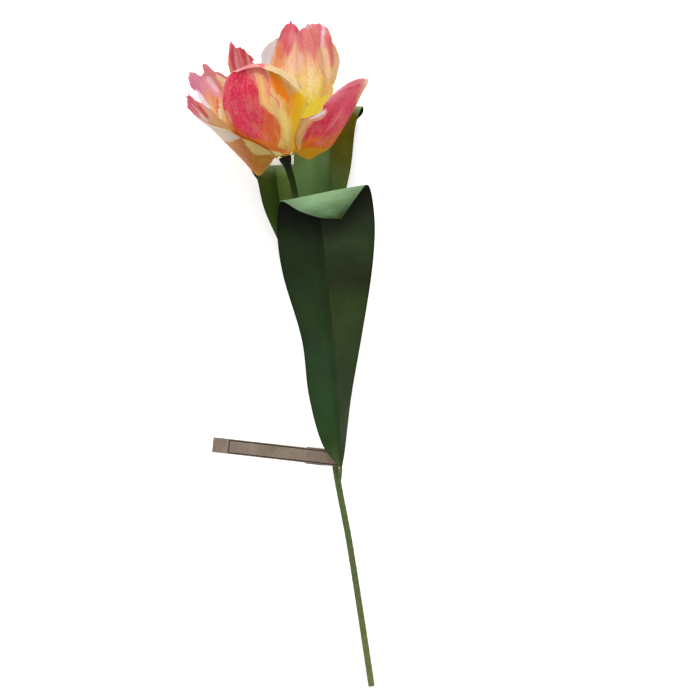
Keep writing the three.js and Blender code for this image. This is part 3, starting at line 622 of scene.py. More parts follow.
# Strokes are (colour, softness, strength, line of (along, across, half width)); a half width below
# nought lets the stroke fade out.
FRONT_OUTSIDE = petal_paper("front petal, outside", 1.0, [
    (0.0, "BC7A30"), (0.12, "C48C44"), (0.2, "D2AA5C"), (0.3, "DAB468"), (0.45, "DAB670"), (0.6, "DAB47E"),
    (0.75, "DCB68C"), (1.0, "E0BC92"),
], [
    # the golden right side, its pale margin and the orange flame beside it
    # the gold is the paper's yellow, deepened by painted glow of light shining through the paper
    ("DFA800", 0.06, 1.0, [(0.05, 0.9, -0.1), (0.12, 0.92, 0.12), (0.3, 0.92, 0.14), (0.4, 0.9, 0.18),
        (0.5, 0.84, 0.15), (0.6, 0.84, 0.12), (0.66, 0.86, 0.06), (0.7, 0.88, -0.06)]),
    ("E4C050", 0.04, 0.9, [(0.42, 1.0, -0.04), (0.48, 1.0, 0.05), (0.55, 1.02, 0.1), (0.62, 1.02, 0.12),
        (0.7, 1.0, 0.12), (0.76, 1.0, -0.05)]),
    ("ECCC7C", 0.12, 0.85, [(0.2, 0.55, -0.1), (0.28, 0.6, 0.16), (0.36, 0.6, 0.16), (0.44, 0.55, 0.1),
        (0.54, 0.6, -0.1)]),
    # the orange flame below the rolled rim is the paper's orange, deepened by painted shade under the rim
    ("D8883C", 0.1, 0.9, [(0.4, 0.68, -0.1), (0.48, 0.64, 0.1), (0.55, 0.6, 0.17), (0.62, 0.55, 0.2),
        (0.7, 0.45, 0.2), (0.77, 0.34, 0.15), (0.86, 0.3, 0.14), (1.0, 0.3, -0.1)]),
    ("E06A28", 0.07, 1.0, [(0.51, 0.6, -0.08), (0.56, 0.55, 0.06), (0.6, 0.46, 0.12), (0.66, 0.38, 0.13),
        (0.72, 0.33, 0.1), (0.77, 0.28, 0.05), (0.84, 0.25, -0.06)]),
    ("E8C488", 0.03, 0.9, [(0.64, 1.0, -0.03), (0.67, 0.9, 0.08), (0.7, 0.8, 0.14), (0.73, 0.7, 0.16),
        (0.76, 0.62, 0.16), (0.8, 0.6, 0.2), (0.9, 0.6, 0.2)]),
    # the red flame, orange at its foot
    ("C25A30", 0.05, 1.0, [(0.06, 0.05, -0.1), (0.12, -0.1, 0.3), (0.18, -0.45, 0.32), (0.22, -0.45, 0.5),
        (0.28, -0.4, 0.68), (0.34, -0.37, 0.74), (0.38, -0.38, 0.72), (0.43, -0.44, 0.66),
        (0.48, -0.52, 0.56), (0.54, -0.55, -0.1)]),
    ("DA6038", 0.12, 0.9, [(0.16, -0.85, -0.1), (0.22, -0.8, 0.14), (0.3, -0.76, 0.2), (0.38, -0.8, 0.12),
        (0.46, -0.85, -0.1)]),
    ("C84C44", 0.12, 0.95, [(0.22, -0.3, -0.1), (0.27, -0.28, 0.2), (0.33, -0.2, 0.42), (0.4, -0.14, 0.46),
        (0.46, -0.3, 0.42), (0.54, -0.4, -0.1)]),
    ("C43A50", 0.05, 1.0, [(0.27, -0.5, -0.1), (0.31, -0.5, 0.2), (0.35, -0.5, 0.3), (0.39, -0.46, 0.4),
        (0.43, -0.45, 0.46), (0.47, -0.5, 0.54), (0.52, -0.56, 0.54), (0.57, -0.56, 0.54),
        (0.62, -0.58, 0.52), (0.68, -0.62, 0.48), (0.74, -0.68, 0.42), (0.8, -0.72, 0.38),
        (1.0, -0.7, 0.36)]),
    ("C22A4C", 0.12, 0.75, [(0.34, -0.55, -0.1), (0.42, -0.58, 0.24), (0.5, -0.66, 0.3), (0.6, -0.7, 0.36),
        (0.7, -0.72, 0.36), (0.8, -0.72, 0.3), (0.92, -0.6, -0.15)]),
    ("C03048", 0.08, 0.8, [(0.4, -0.3, -0.08), (0.47, -0.28, 0.16), (0.54, -0.22, 0.17), (0.6, -0.22, 0.12),
        (0.66, -0.25, -0.08)]),
    ("D0708A", 0.06, 0.7, [(0.54, -1.0, -0.05), (0.6, -1.0, 0.05), (0.68, -1.0, 0.06), (0.76, -1.0, 0.05),
        (0.82, -1.0, -0.05)]),
    ("D4707C", 0.05, 0.75, [(0.62, -0.08, -0.04), (0.66, -0.14, 0.05), (0.7, -0.22, 0.08),
        (0.74, -0.3, 0.12), (0.8, -0.36, 0.12), (0.88, -0.36, -0.06)]),
    ("DC7480", 0.1, -0.45, [(0.3, -0.5, -0.1), (0.4, -0.45, 0.4), (0.5, -0.55, 0.45), (0.62, -0.6, 0.45),
        (0.76, -0.65, 0.35), (0.85, -0.6, -0.1)]),
    ("E08850", 0.1, -0.45, [(0.16, -0.3, -0.1), (0.24, -0.2, 0.3), (0.34, -0.1, 0.4), (0.42, -0.1, -0.1)]),
    ("D0606C", 0.05, 0.6, [(0.28, -0.4, -0.05), (0.34, -0.45, 0.05), (0.42, -0.55, 0.04),
        (0.5, -0.62, -0.05)]),
    ("D4606C", 0.03, 0.5, [(0.38, -0.02, -0.03), (0.46, -0.16, 0.015), (0.54, -0.24, 0.015),
        (0.62, -0.32, -0.03)]),
    ("D86C4C", 0.05, 0.6, [(0.2, -0.25, -0.05), (0.28, -0.3, 0.05), (0.36, -0.36, 0.04),
        (0.42, -0.4, -0.05)]),
    ("DC8058", 0.03, 0.6, [(0.17, -0.1, -0.03), (0.24, 0.08, 0.03), (0.31, 0.16, 0.03),
        (0.38, 0.14, -0.03)]),
    ("B84C28", 0.03, 0.6, [(0.19, -0.4, -0.03), (0.25, -0.12, 0.03), (0.32, -0.02, 0.03),
        (0.4, -0.06, -0.03)]),
    # the left margin and the cream at the foot
    ("E09C50", 0.04, 0.9, [(0.36, -0.98, -0.04), (0.4, -0.98, 0.06), (0.44, -1.0, -0.04)]),
    ("CC8A6C", 0.04, 0.9, [(0.4, -1.0, -0.05), (0.44, -0.95, 0.07), (0.48, -0.95, 0.08),
        (0.52, -1.0, -0.05)]),
    ("CDBB7A", 0.03, 1.0, [(0.05, -1.0, 0.7), (0.1, -1.0, 0.7), (0.15, -1.0, 0.5), (0.21, -1.0, 0.34),
        (0.26, -1.0, 0.17), (0.3, -1.05, -0.04)]),
    # a cream stripe and the wavering pink one beside it
    ("DE9A6C", 0.05, 0.95, [(0.46, 0.26, -0.05), (0.5, 0.16, 0.08), (0.54, 0.1, 0.1), (0.6, 0.09, 0.11),
        (0.66, 0.04, 0.12), (0.72, -0.06, 0.1), (0.76, -0.1, -0.04)]),
    ("DA646C", 0.05, 0.8, [(0.72, -0.1, -0.05), (0.76, -0.12, 0.2), (0.8, -0.14, 0.2),
        (0.9, -0.14, -0.05)]),
    ("E2B47C", 0.03, 0.85, [(0.38, 0.44, -0.05), (0.42, 0.36, 0.06), (0.47, 0.25, 0.08),
        (0.53, 0.08, 0.035), (0.6, 0.05, 0.03), (0.66, 0.02, 0.035), (0.71, -0.04, 0.03),
        (0.75, -0.1, -0.03)]),
    ("DC6470", 0.035, 0.9, [(0.46, 0.42, -0.04), (0.49, 0.4, 0.02), (0.55, 0.34, 0.03), (0.57, 0.24, 0.035),
        (0.6, 0.2, 0.035), (0.64, 0.2, 0.04), (0.68, 0.17, 0.055), (0.75, 0.06, 0.09), (0.82, 0.0, 0.1),
        (0.9, 0.0, -0.05)]),
    ("DC7C74", 0.03, 0.7, [(0.53, 0.26, -0.03), (0.57, 0.17, 0.02), (0.63, 0.12, 0.02),
        (0.7, 0.08, -0.03)]),
])
FRONT_INSIDE = petal_paper("front petal, inside", 2.0, [
    (0.0, "E8CE10"), (0.3, "F0D860"), (0.55, "F0C48A"), (0.82, "DC9C88"), (1.0, "D2B698"),
], [
    ("DC7C8C", 0.15, 0.95, [(0.78, -0.6, -0.2), (0.9, -0.65, 0.35), (1.0, -0.6, 0.4)]),
    ("D8606C", 0.08, 0.9, [(0.83, -0.1, -0.1), (0.9, -0.08, 0.12), (0.97, -0.1, 0.08), (1.0, -0.1, 0.02)]),
    ("D8BC8A", 0.2, 0.95, [(0.62, 0.6, -0.3), (0.76, 0.65, 0.2), (0.88, 0.65, 0.5), (1.0, 0.6, 0.6)]),
])
RIGHT_OUTSIDE = petal_paper("right petal, outside", 3.0, [
    (0.0, "B08420"), (0.2, "B87E26"), (0.32, "C0602C"), (0.44, "BE4438"), (0.56, "BE384C"),
    (0.72, "B83E56"), (0.9, "BC5066"), (0.97, "D29A98"), (1.0, "E2B0A8"),
], [
    # the rosy body
    ("B42E42", 0.12, 0.75, [(0.34, -0.55, -0.1), (0.42, -0.6, 0.14), (0.55, -0.67, 0.2),
        (0.7, -0.75, -0.1)]),
    ("C86078", 0.08, 0.9, [(0.66, -0.95, -0.05), (0.75, -0.92, 0.1), (0.9, -0.82, 0.13), (1.0, -0.8, 0.0)]),
    ("C44A62", 0.15, 0.8, [(0.6, -0.4, -0.1), (0.74, -0.45, 0.14), (0.92, -0.5, -0.1)]),
    ("B6304C", 0.08, 0.6, [(0.62, -0.3, -0.05), (0.75, -0.3, 0.05), (0.9, -0.25, -0.05)]),
    ("D06878", 0.1, -0.4, [(0.4, -0.3, -0.1), (0.55, -0.4, 0.4), (0.85, -0.5, 0.4), (0.95, -0.5, -0.1)]),
    # brown and gold along the fold: painted shade over the paper's yellow, where the petal turns under
    ("AC5C34", 0.1, 0.85, [(0.38, -0.1, -0.1), (0.46, -0.08, 0.2), (0.56, -0.06, 0.16),
        (0.66, -0.04, -0.1)]),
    ("A67800", 0.02, 1.0, [(0.08, -0.3, 0.5), (0.2, -0.25, 0.5), (0.32, -0.08, 0.44), (0.4, 0.04, 0.3),
        (0.48, 0.16, 0.16), (0.54, 0.2, -0.04)]),
    # the cream edge near the foot
    ("C8A468", 0.05, 1.0, [(0.24, -0.65, -0.1), (0.28, -0.78, 0.11), (0.36, -0.83, 0.14),
        (0.44, -0.87, 0.14), (0.52, -0.9, 0.09), (0.6, -0.93, -0.05)]),
    ("D8AC84", 0.03, 0.8, [(0.32, -0.85, -0.04), (0.42, -0.85, 0.04), (0.55, -0.9, -0.03)]),
    ("CC8878", 0.03, 0.7, [(0.3, -0.7, -0.04), (0.42, -0.72, 0.03), (0.52, -0.8, 0.03),
        (0.58, -0.86, -0.03)]),
    # a beige band just under the white fold: painted shade
    ("D4A08C", 0.04, 0.95, [(0.53, -0.85, -0.03), (0.59, -0.87, 0.04), (0.66, -0.9, -0.04)]),
    ("E6DCE2", 0.02, 1.0, [(0.53, -0.93, -0.02), (0.57, -0.94, 0.03), (0.62, -0.97, 0.05),
        (0.67, -0.97, -0.02)]),
    # flames
    ("BC5048", 0.08, 0.8, [(0.33, -0.57, -0.1), (0.42, -0.52, 0.09), (0.5, -0.42, 0.09),
        (0.55, -0.3, -0.1)]),
    ("C85830", 0.06, 0.9, [(0.3, -0.6, -0.07), (0.38, -0.55, 0.06), (0.46, -0.48, 0.06),
        (0.51, -0.4, -0.05)]),
    ("A83A4C", 0.03, 0.85, [(0.26, -0.7, -0.04), (0.36, -0.68, 0.03), (0.46, -0.7, 0.03),
        (0.54, -0.78, -0.02)]),
    ("C8705C", 0.03, 0.6, [(0.32, -0.55, -0.03), (0.42, -0.57, 0.02), (0.6, -0.75, -0.03)]),
    ("CC6474", 0.03, 0.6, [(0.5, -0.38, -0.03), (0.58, -0.45, 0.03), (0.68, -0.5, 0.04),
        (0.75, -0.5, -0.04)]),
    ("BC6058", 0.05, 0.5, [(0.48, -0.13, -0.04), (0.6, -0.17, 0.05), (0.75, -0.2, -0.06)]),
    # the upper margin
    ("B84054", 0.04, 0.8, [(0.62, -1.0, -0.03), (0.66, -1.0, 0.05), (0.71, -0.95, -0.04)]),
    ("D490A4", 0.03, 0.85, [(0.66, -1.05, -0.02), (0.72, -1.0, 0.02), (0.82, -0.95, 0.03),
        (0.92, -0.84, -0.05)]),
    # a dark red line under the folded lip near the tip: painted shade
    ("A82C48", 0.04, 0.9, [(0.78, -0.87, -0.03), (0.84, -0.75, 0.04), (0.9, -0.55, 0.05),
        (0.94, -0.43, -0.08)]),
    ("C4607C", 0.07, 0.8, [(0.84, -0.88, -0.04), (0.9, -0.76, 0.06), (0.96, -0.64, 0.1),
        (0.99, -0.44, -0.18)]),
    # the lower margin and the pale tip
    ("DCA478", 0.11, 0.95, [(0.78, -0.1, -0.08), (0.85, -0.08, 0.1), (0.93, -0.08, 0.14),
        (1.0, -0.25, 0.14)]),
    # a dark line along the top of the turned-under gold: painted shade at the fold
    ("A0600C", 0.04, 0.8, [(0.25, -0.7, -0.05), (0.32, -0.53, 0.03), (0.43, -0.2, 0.03),
        (0.48, -0.05, -0.04)]),
    ("E0C0AC", 0.08, 0.9, [(0.95, -0.4, -0.1), (0.97, -0.3, 0.2), (1.0, -0.3, 0.5)]),
    # tan gold on the half that turns under: painted shade over the paper's yellow
    ("C98A3C", 0.15, 0.8, [(0.1, 0.8, 0.3), (0.3, 0.8, 0.4), (0.45, 0.8, 0.3), (0.6, 0.85, -0.1)]),
])
RIGHT_INSIDE = petal_paper("right petal, inside", 4.0, [
    (0.0, "E8CE10"), (0.25, "EED24A"), (0.45, "F0B070"), (0.7, "E0687A"), (1.0, "DC6A80"),
], [
    ("F3CF9C", 0.1, 0.9, [(0.3, 0.7, -0.1), (0.45, 0.7, 0.2), (0.6, 0.7, 0.15), (0.75, 0.7, -0.1)]),
    ("D2405C", 0.1, 0.8, [(0.5, -0.1, -0.1), (0.65, -0.1, 0.15), (0.8, -0.1, 0.2), (1.0, -0.1, 0.1)]),
])
# Its outside faces down: the brown tan of the wash up to 0.62 and of the first stroke is painted shade over
# the paper's gold.
LOW_OUTSIDE = petal_paper("lower left petal, outside", 5.0, [
    (0.0, "C08A3C"), (0.2, "B07A34"), (0.35, "AC7238"), (0.5, "AE6E40"), (0.62, "B87E50"), (0.75, "CDA890"),
    (0.88, "CE6A70"), (1.0, "C03450"),
], [
    ("9C5E2C", 0.15, 0.7, [(0.34, 0.3, -0.1), (0.44, 0.38, 0.15), (0.54, 0.35, 0.12), (0.6, 0.3, -0.1)]),
    ("BC8E38", 0.15, 0.8, [(0.16, 0.0, -0.1), (0.26, -0.05, 0.3), (0.35, 0.0, 0.2), (0.43, 0.0, -0.1)]),
    ("C2B6A6", 0.04, 1.0, [(0.46, 1.0, -0.04), (0.52, 0.97, 0.06), (0.58, 0.84, 0.2), (0.62, 0.7, 0.36),
        (0.66, 0.55, 0.5), (0.72, 0.5, 0.6), (0.8, 0.55, 0.5), (0.86, 0.7, 0.3), (0.9, 0.8, -0.05)]),
    ("CCB070", 0.03, 1.0, [(0.18, 1.0, -0.05), (0.26, 1.0, 0.16), (0.32, 0.98, 0.22), (0.38, 0.97, 0.22),
        (0.43, 0.98, 0.16), (0.48, 1.0, -0.04)]),
    ("B42E48", 0.1, 0.9, [(0.86, 0.6, -0.1), (0.92, 0.6, 0.3), (1.0, 0.6, 0.5)]),
])
LOW_INSIDE = petal_paper("lower left petal, inside", 6.0, [
    (0.0, "E0A020"), (0.3, "EAA440"), (0.5, "E8B460"), (0.6, "ECBC88"), (0.7, "ECCCA8"), (0.8, "E4B0A4"),
    (0.9, "CC7488"), (1.0, "B44C6C"),
], [
    ("EEB878", 0.08, 0.9, [(0.61, -0.78, -0.08), (0.66, -0.8, 0.1), (0.72, -0.9, 0.1),
        (0.78, -0.95, -0.07)]),
    ("F0C890", 0.1, 0.85, [(0.57, -0.62, -0.1), (0.63, -0.62, 0.12), (0.69, -0.6, 0.11),
        (0.73, -0.6, -0.12)]),
    ("F0E8DC", 0.08, 0.95, [(0.72, -0.4, -0.07), (0.77, -0.3, 0.1), (0.82, -0.25, 0.14),
        (0.86, -0.35, 0.08), (0.9, -0.46, -0.08)]),
    ("E89078", 0.07, 0.8, [(0.61, -0.44, -0.05), (0.68, -0.33, 0.05), (0.74, -0.28, 0.06),
        (0.78, -0.34, -0.08)]),
    ("BC5478", 0.15, 1.0, [(0.86, -0.34, -0.14), (0.91, -0.35, 0.13), (0.95, -0.4, 0.25),
        (1.0, -0.8, 0.25)]),
    ("C83854", 0.08, 1.0, [(0.75, -0.5, -0.06), (0.79, -0.54, 0.13), (0.86, -0.67, 0.1),
        (0.9, -0.75, -0.1)]),
    ("F0D0CC", 0.04, 0.9, [(0.8, -0.35, -0.04), (0.85, -0.38, 0.04), (0.93, -0.4, 0.04),
        (0.97, -0.55, -0.05)]),
    ("A83050", 0.19, 0.95, [(0.9, 0.94, -0.28), (0.93, 0.92, 0.24), (0.97, 0.7, 0.2), (1.0, 0.55, 0.14)]),
])
HIGH_INSIDE = petal_paper("upper left petal, inside", 7.0, [
    (0.0, "E8C020"), (0.3, "E89A34"), (0.5, "E0A04E"), (0.58, "DCB080"), (0.66, "D89476"), (0.76, "D08890"),
    (0.86, "CA7C98"), (0.94, "C06C8C"), (1.0, "BC6C88"),
], [
    # peach and orange near the fold
    ("D89468", 0.13, 0.9, [(0.59, -0.95, -0.11), (0.64, -0.8, 0.16), (0.7, -0.68, 0.22),
        (0.75, -0.63, 0.19), (0.8, -0.6, -0.16)]),
    ("E4B87C", 0.08, 0.8, [(0.62, -0.98, -0.07), (0.67, -0.9, 0.08), (0.7, -0.8, 0.08),
        (0.74, -0.68, -0.09)]),
    ("DC6048", 0.07, 0.95, [(0.61, -0.95, -0.06), (0.63, -0.8, 0.08), (0.65, -0.65, 0.11),
        (0.68, -0.44, 0.07), (0.72, -0.24, -0.08)]),
    ("D87878", 0.05, 0.7, [(0.67, -0.78, -0.05), (0.71, -0.58, 0.05), (0.77, -0.3, -0.06)]),
    ("DCA078", 0.05, 0.7, [(0.68, -0.85, -0.05), (0.73, -0.7, 0.05), (0.76, -0.63, 0.06),
        (0.8, -0.48, -0.04)]),
    # the lilac and pink tips
    ("AC6884", 0.19, 0.9, [(0.8, -0.8, -0.2), (0.87, -0.86, 0.23), (0.92, -0.83, 0.37),
        (0.96, -0.72, 0.3)]),
    ("AC5878", 0.08, 0.8, [(0.88, -1.0, -0.07), (0.93, -0.98, 0.08), (0.98, -0.78, -0.1)]),
    ("D47C98", 0.09, 0.95, [(0.85, 0.0, -0.09), (0.9, 0.12, 0.26), (0.97, 0.24, 0.31), (1.0, 0.3, 0.2)]),
    # the pale middle
    ("D890A8", 0.15, 0.85, [(0.65, -0.36, -0.15), (0.7, -0.3, 0.15), (0.78, -0.32, 0.2),
        (0.83, -0.38, 0.19), (0.89, -0.35, -0.17)]),
    ("F6C8D6", 0.1, 0.95, [(0.69, -0.15, -0.1), (0.75, -0.1, 0.16), (0.84, -0.1, 0.16),
        (0.88, -0.14, -0.11)]),
    ("DC8098", 0.08, 0.8, [(0.66, -0.1, -0.08), (0.72, 0.0, 0.07), (0.78, 0.07, 0.08),
        (0.83, 0.12, -0.09)]),
    ("E88C60", 0.06, 0.85, [(0.68, 0.04, -0.05), (0.74, 0.13, 0.06), (0.8, 0.2, -0.06)]),
    # the cream lens on the right
    ("F6E4C8", 0.03, 1.0, [(0.68, 0.5, 0.2), (0.75, 0.51, 0.26), (0.83, 0.53, 0.17), (0.88, 0.5, 0.04),
        (0.92, 0.44, -0.01)]),
    ("F0B088", 0.06, 0.8, [(0.68, 0.3, -0.06), (0.75, 0.33, 0.08), (0.81, 0.31, 0.06), (0.86, 0.3, -0.06)]),
    # the left margin
    ("DCD0AC", 0.06, 1.0, [(0.57, -0.99, -0.06), (0.59, -0.95, 0.11), (0.61, -0.78, 0.14),
        (0.63, -0.6, 0.1), (0.65, -0.4, -0.07)]),
    ("EACEDA", 0.05, 1.0, [(0.65, -0.98, -0.04), (0.72, -0.96, 0.09), (0.79, -0.95, 0.1),
        (0.85, -0.99, 0.04), (0.89, -0.98, -0.05)]),
])
HIGH_OUTSIDE = petal_paper("upper left petal, outside", 8.0, [
    (0.0, "D89A30"), (0.3, "E0A850"), (0.6, "E4A080"), (1.0, "D06078"),
], [
    ("CC3C58", 0.12, 0.9, [(0.4, 0.1, -0.1), (0.55, 0.15, 0.25), (0.7, 0.1, 0.35), (0.85, 0.0, 0.3),
        (1.0, 0.0, 0.2)]),
    ("ECD0A8", 0.08, 0.9, [(0.3, -0.7, -0.1), (0.45, -0.75, 0.15), (0.6, -0.8, 0.12), (0.75, -0.8, -0.1)]),
])
BACK_LEFT_INSIDE = petal_paper("back left petal, inside", 9.0, [
    (0.0, "E8CE10"), (0.3, "F0C840"), (0.55, "F0A060"), (0.72, "D86480"), (0.85, "D05478"), (1.0, "C84468"),
], [
    ("C8405C", 0.13, 0.9, [(0.78, 0.24, 0.09), (0.87, 0.28, 0.1), (0.95, 0.4, 0.11), (0.99, 0.4, -0.15)]),
    ("ECB0C4", 0.04, 0.95, [(0.85, 0.6, 0.15), (0.9, 0.64, 0.07), (0.95, 0.69, 0.05), (0.99, 0.67, -0.03)]),
    ("DC7088", 0.08, 0.8, [(0.8, 0.1, 0.09), (0.9, 0.2, 0.1), (0.96, 0.2, 0.1), (0.98, -0.05, -0.07)]),
    ("C8485C", 0.06, 0.8, [(0.83, 0.4, 0.05), (0.93, 0.5, 0.05), (0.98, 0.54, -0.06)]),
    ("E4A4B8", 0.08, 1.0, [(0.78, -0.27, 0.17), (0.85, -0.25, 0.15), (0.92, -0.2, 0.1),
        (0.99, -0.25, -0.06)]),
    ("C03850", 0.17, 0.95, [(0.8, -0.6, 0.09), (0.9, -0.56, 0.18), (0.96, -0.58, 0.27)]),
    ("E4906C", 0.13, 0.95, [(0.8, -0.88, 0.11), (0.84, -0.94, 0.14), (0.9, -1.05, 0.1),
        (0.96, -1.18, -0.16)]),
    ("E4845C", 0.02, 0.85, [(0.88, 0.82, -0.03), (0.92, 0.89, 0.02), (0.96, 0.8, -0.02)]),
    ("E07890", 0.1, -0.4, [(0.7, 0.2, -0.1), (0.8, 0.2, 0.6), (0.92, 0.1, 0.6), (1.0, 0.0, -0.1)]),
])
BACK_LEFT_OUTSIDE = petal_paper("back left petal, outside", 10.0, [
    (0.0, "D89A30"), (0.35, "E4A858"), (0.65, "E08070"), (1.0, "CC4860"),
], [
    ("C8304C", 0.12, 0.9, [(0.35, 0.0, -0.1), (0.5, 0.0, 0.25), (0.7, 0.05, 0.35), (0.85, 0.0, 0.3),
        (1.0, 0.0, 0.2)]),
    ("EBC48C", 0.08, 0.9, [(0.2, -0.75, -0.1), (0.4, -0.8, 0.15), (0.6, -0.85, 0.12), (0.75, -0.85, -0.1)]),
])
BACK_RIGHT_INSIDE = petal_paper("back right petal, inside", 11.0, [
    (0.0, "E2CC40"), (0.3, "E4D044"), (0.42, "E4CE50"), (0.52, "E6CC6C"), (0.62, "E8C080"),
    (0.72, "E8B090"), (0.84, "E09084"), (0.92, "D67484"), (1.0, "D46884"),
], [
    # the right margin
    ("BCA488", 0.08, 0.9, [(0.5, 0.74, -0.09), (0.56, 0.83, 0.12), (0.65, 0.9, 0.14), (0.78, 0.88, 0.1),
        (0.86, 0.96, -0.04)]),
    ("CCA264", 0.11, 0.9, [(0.41, 0.5, -0.17), (0.47, 0.63, 0.15), (0.54, 0.68, 0.12), (0.61, 0.7, -0.09)]),
    # the right lobe
    ("D46880", 0.12, 1.0, [(0.7, 0.2, -0.1), (0.78, 0.22, 0.18), (0.85, 0.3, 0.36), (0.92, 0.41, 0.47),
        (0.98, 0.6, 0.52)]),
    ("D05C70", 0.09, 0.7, [(0.75, 0.12, -0.07), (0.82, 0.13, 0.09), (0.88, 0.15, 0.12),
        (0.93, 0.2, -0.11)]),
    ("F0A0A4", 0.1, -0.5, [(0.74, 0.2, -0.1), (0.82, 0.3, 0.4), (0.92, 0.4, 0.5), (0.99, 0.5, -0.1)]),
    ("EC8C5C", 0.08, -0.5, [(0.56, 0.36, -0.06), (0.64, 0.32, 0.12), (0.73, 0.3, 0.16), (0.8, 0.3, -0.06)]),
    ("DC8080", 0.04, 0.85, [(0.63, 0.07, -0.03), (0.7, 0.06, 0.02), (0.8, 0.06, 0.04),
        (0.91, 0.11, -0.04)]),
    ("D46868", 0.05, 0.85, [(0.64, 0.3, -0.04), (0.72, 0.3, 0.05), (0.8, 0.35, 0.08), (0.9, 0.45, 0.1)]),
    ("E09A80", 0.03, 0.8, [(0.61, 0.16, -0.03), (0.7, 0.18, 0.02), (0.81, 0.2, -0.03)]),
    ("E09070", 0.03, 0.8, [(0.53, 0.43, -0.04), (0.62, 0.34, 0.03), (0.7, 0.3, -0.03)]),
    ("D0A8C4", 0.09, 0.8, [(0.94, 0.28, -0.05), (0.97, 0.3, 0.18), (1.0, 0.34, 0.3)]),
    ("C4708E", 0.06, 0.9, [(0.91, 0.04, -0.06), (0.94, 0.04, 0.06), (1.0, 0.04, 0.08)]),
    ("C4506A", 0.04, 0.95, [(0.6, 0.76, -0.05), (0.66, 0.77, 0.04), (0.75, 0.79, 0.08), (0.82, 0.83, 0.11),
        (0.94, 0.98, 0.04)]),
    ("BC4868", 0.02, 0.7, [(0.78, 0.88, -0.04), (0.82, 0.88, 0.03), (0.94, 1.0, -0.01)]),
    # the right pleat, cream with a pink outline and a lilac crest
    ("DCB494", 0.03, 1.0, [(0.52, 0.74, 0.02), (0.58, 0.65, 0.06), (0.65, 0.58, 0.11), (0.7, 0.55, 0.16),
        (0.76, 0.54, 0.15), (0.8, 0.6, 0.05), (0.83, 0.64, -0.03)]),
    ("DCBC80", 0.03, 0.7, [(0.55, 0.75, -0.04), (0.62, 0.7, 0.03), (0.73, 0.65, -0.03)]),
    ("D07C78", 0.02, 0.85, [(0.52, 0.75, -0.02), (0.56, 0.67, 0.01), (0.62, 0.5, 0.03), (0.67, 0.4, 0.02),
        (0.77, 0.41, 0.02), (0.81, 0.55, 0.03), (0.83, 0.62, -0.02)]),
    ("E0B4C8", 0.02, 1.0, [(0.8, 0.6, -0.03), (0.83, 0.65, 0.05), (0.87, 0.7, 0.04), (0.91, 0.8, 0.05),
        (0.96, 0.94, 0.02)]),
    # the left lobe
    ("EC9468", 0.07, 0.95, [(0.62, -0.56, -0.06), (0.67, -0.6, 0.12), (0.76, -0.7, 0.11),
        (0.83, -0.84, -0.07)]),
    ("E26850", 0.07, 0.9, [(0.67, -0.52, -0.07), (0.72, -0.56, 0.06), (0.78, -0.63, 0.08),
        (0.85, -0.74, -0.09)]),
    ("D64A6A", 0.08, 1.0, [(0.69, -0.44, -0.07), (0.75, -0.45, 0.07), (0.8, -0.46, 0.14),
        (0.85, -0.5, 0.21), (0.9, -0.54, 0.22), (0.95, -0.52, 0.44), (1.0, -0.56, 0.2)]),
    ("CC507C", 0.05, 0.7, [(0.83, -0.57, -0.05), (0.88, -0.66, 0.08), (0.92, -0.74, 0.09),
        (0.96, -0.8, -0.04)]),
    ("DC7490", 0.06, 0.8, [(0.8, -0.4, -0.06), (0.85, -0.4, 0.07), (0.91, -0.4, 0.1),
        (0.95, -0.42, -0.06)]),
    ("D86884", 0.04, 0.9, [(0.72, 0.0, -0.04), (0.77, -0.03, 0.02), (0.85, -0.05, 0.04),
        (0.96, -0.07, 0.03)]),
    ("E07C90", 0.1, -0.3, [(0.72, -0.45, -0.1), (0.85, -0.5, 0.25), (0.95, -0.55, 0.35),
        (1.0, -0.55, -0.1)]),
    ("EAECFF", 0.05, 1.0, [(0.66, -0.94, 0.17), (0.76, -0.95, 0.2), (0.82, -0.93, 0.13),
        (0.87, -0.9, 0.03)]),
    # the left pleat
    ("F0C0A8", 0.04, 1.0, [(0.56, -0.32, -0.03), (0.61, -0.27, 0.18), (0.65, -0.25, 0.22),
        (0.73, -0.21, 0.15), (0.79, -0.22, 0.1), (0.84, -0.22, 0.05), (0.89, -0.2, -0.05)]),
    ("F2CC9C", 0.07, 0.8, [(0.53, -0.32, -0.07), (0.6, -0.32, 0.11), (0.68, -0.32, -0.07)]),
    ("E29C90", 0.02, 0.7, [(0.62, -0.2, -0.02), (0.7, -0.17, 0.02), (0.85, -0.2, 0.01)]),
    ("E69C8C", 0.02, 0.6, [(0.63, -0.35, -0.02), (0.7, -0.32, 0.02), (0.8, -0.3, -0.02)]),
    ("E8C4C8", 0.03, 0.9, [(0.66, -0.07, -0.03), (0.71, 0.0, 0.03), (0.79, -0.04, -0.03)]),
    ("E0A4BC", 0.03, 0.95, [(0.82, -0.15, -0.03), (0.9, -0.17, 0.03), (0.96, -0.22, -0.03)]),
    # the yellow foot, flecked with white
    ("FAF0D4", 0.06, -0.75, [(0.38, 0.2, -0.05), (0.46, 0.2, 0.16), (0.55, 0.2, 0.22), (0.64, 0.2, 0.14),
        (0.72, 0.2, -0.05)]),
    ("F2E2B4", 0.03, 0.5, [(0.42, 0.16, -0.03), (0.5, 0.15, 0.05), (0.62, 0.16, 0.05),
        (0.69, 0.17, -0.03)]),
    ("F0DCA8", 0.03, 0.7, [(0.45, 0.3, -0.03), (0.53, 0.26, 0.03), (0.61, 0.24, -0.03)]),
    ("F0D08C", 0.05, 0.7, [(0.45, 0.0, -0.05), (0.54, -0.03, 0.08), (0.63, -0.04, -0.05)]),
])
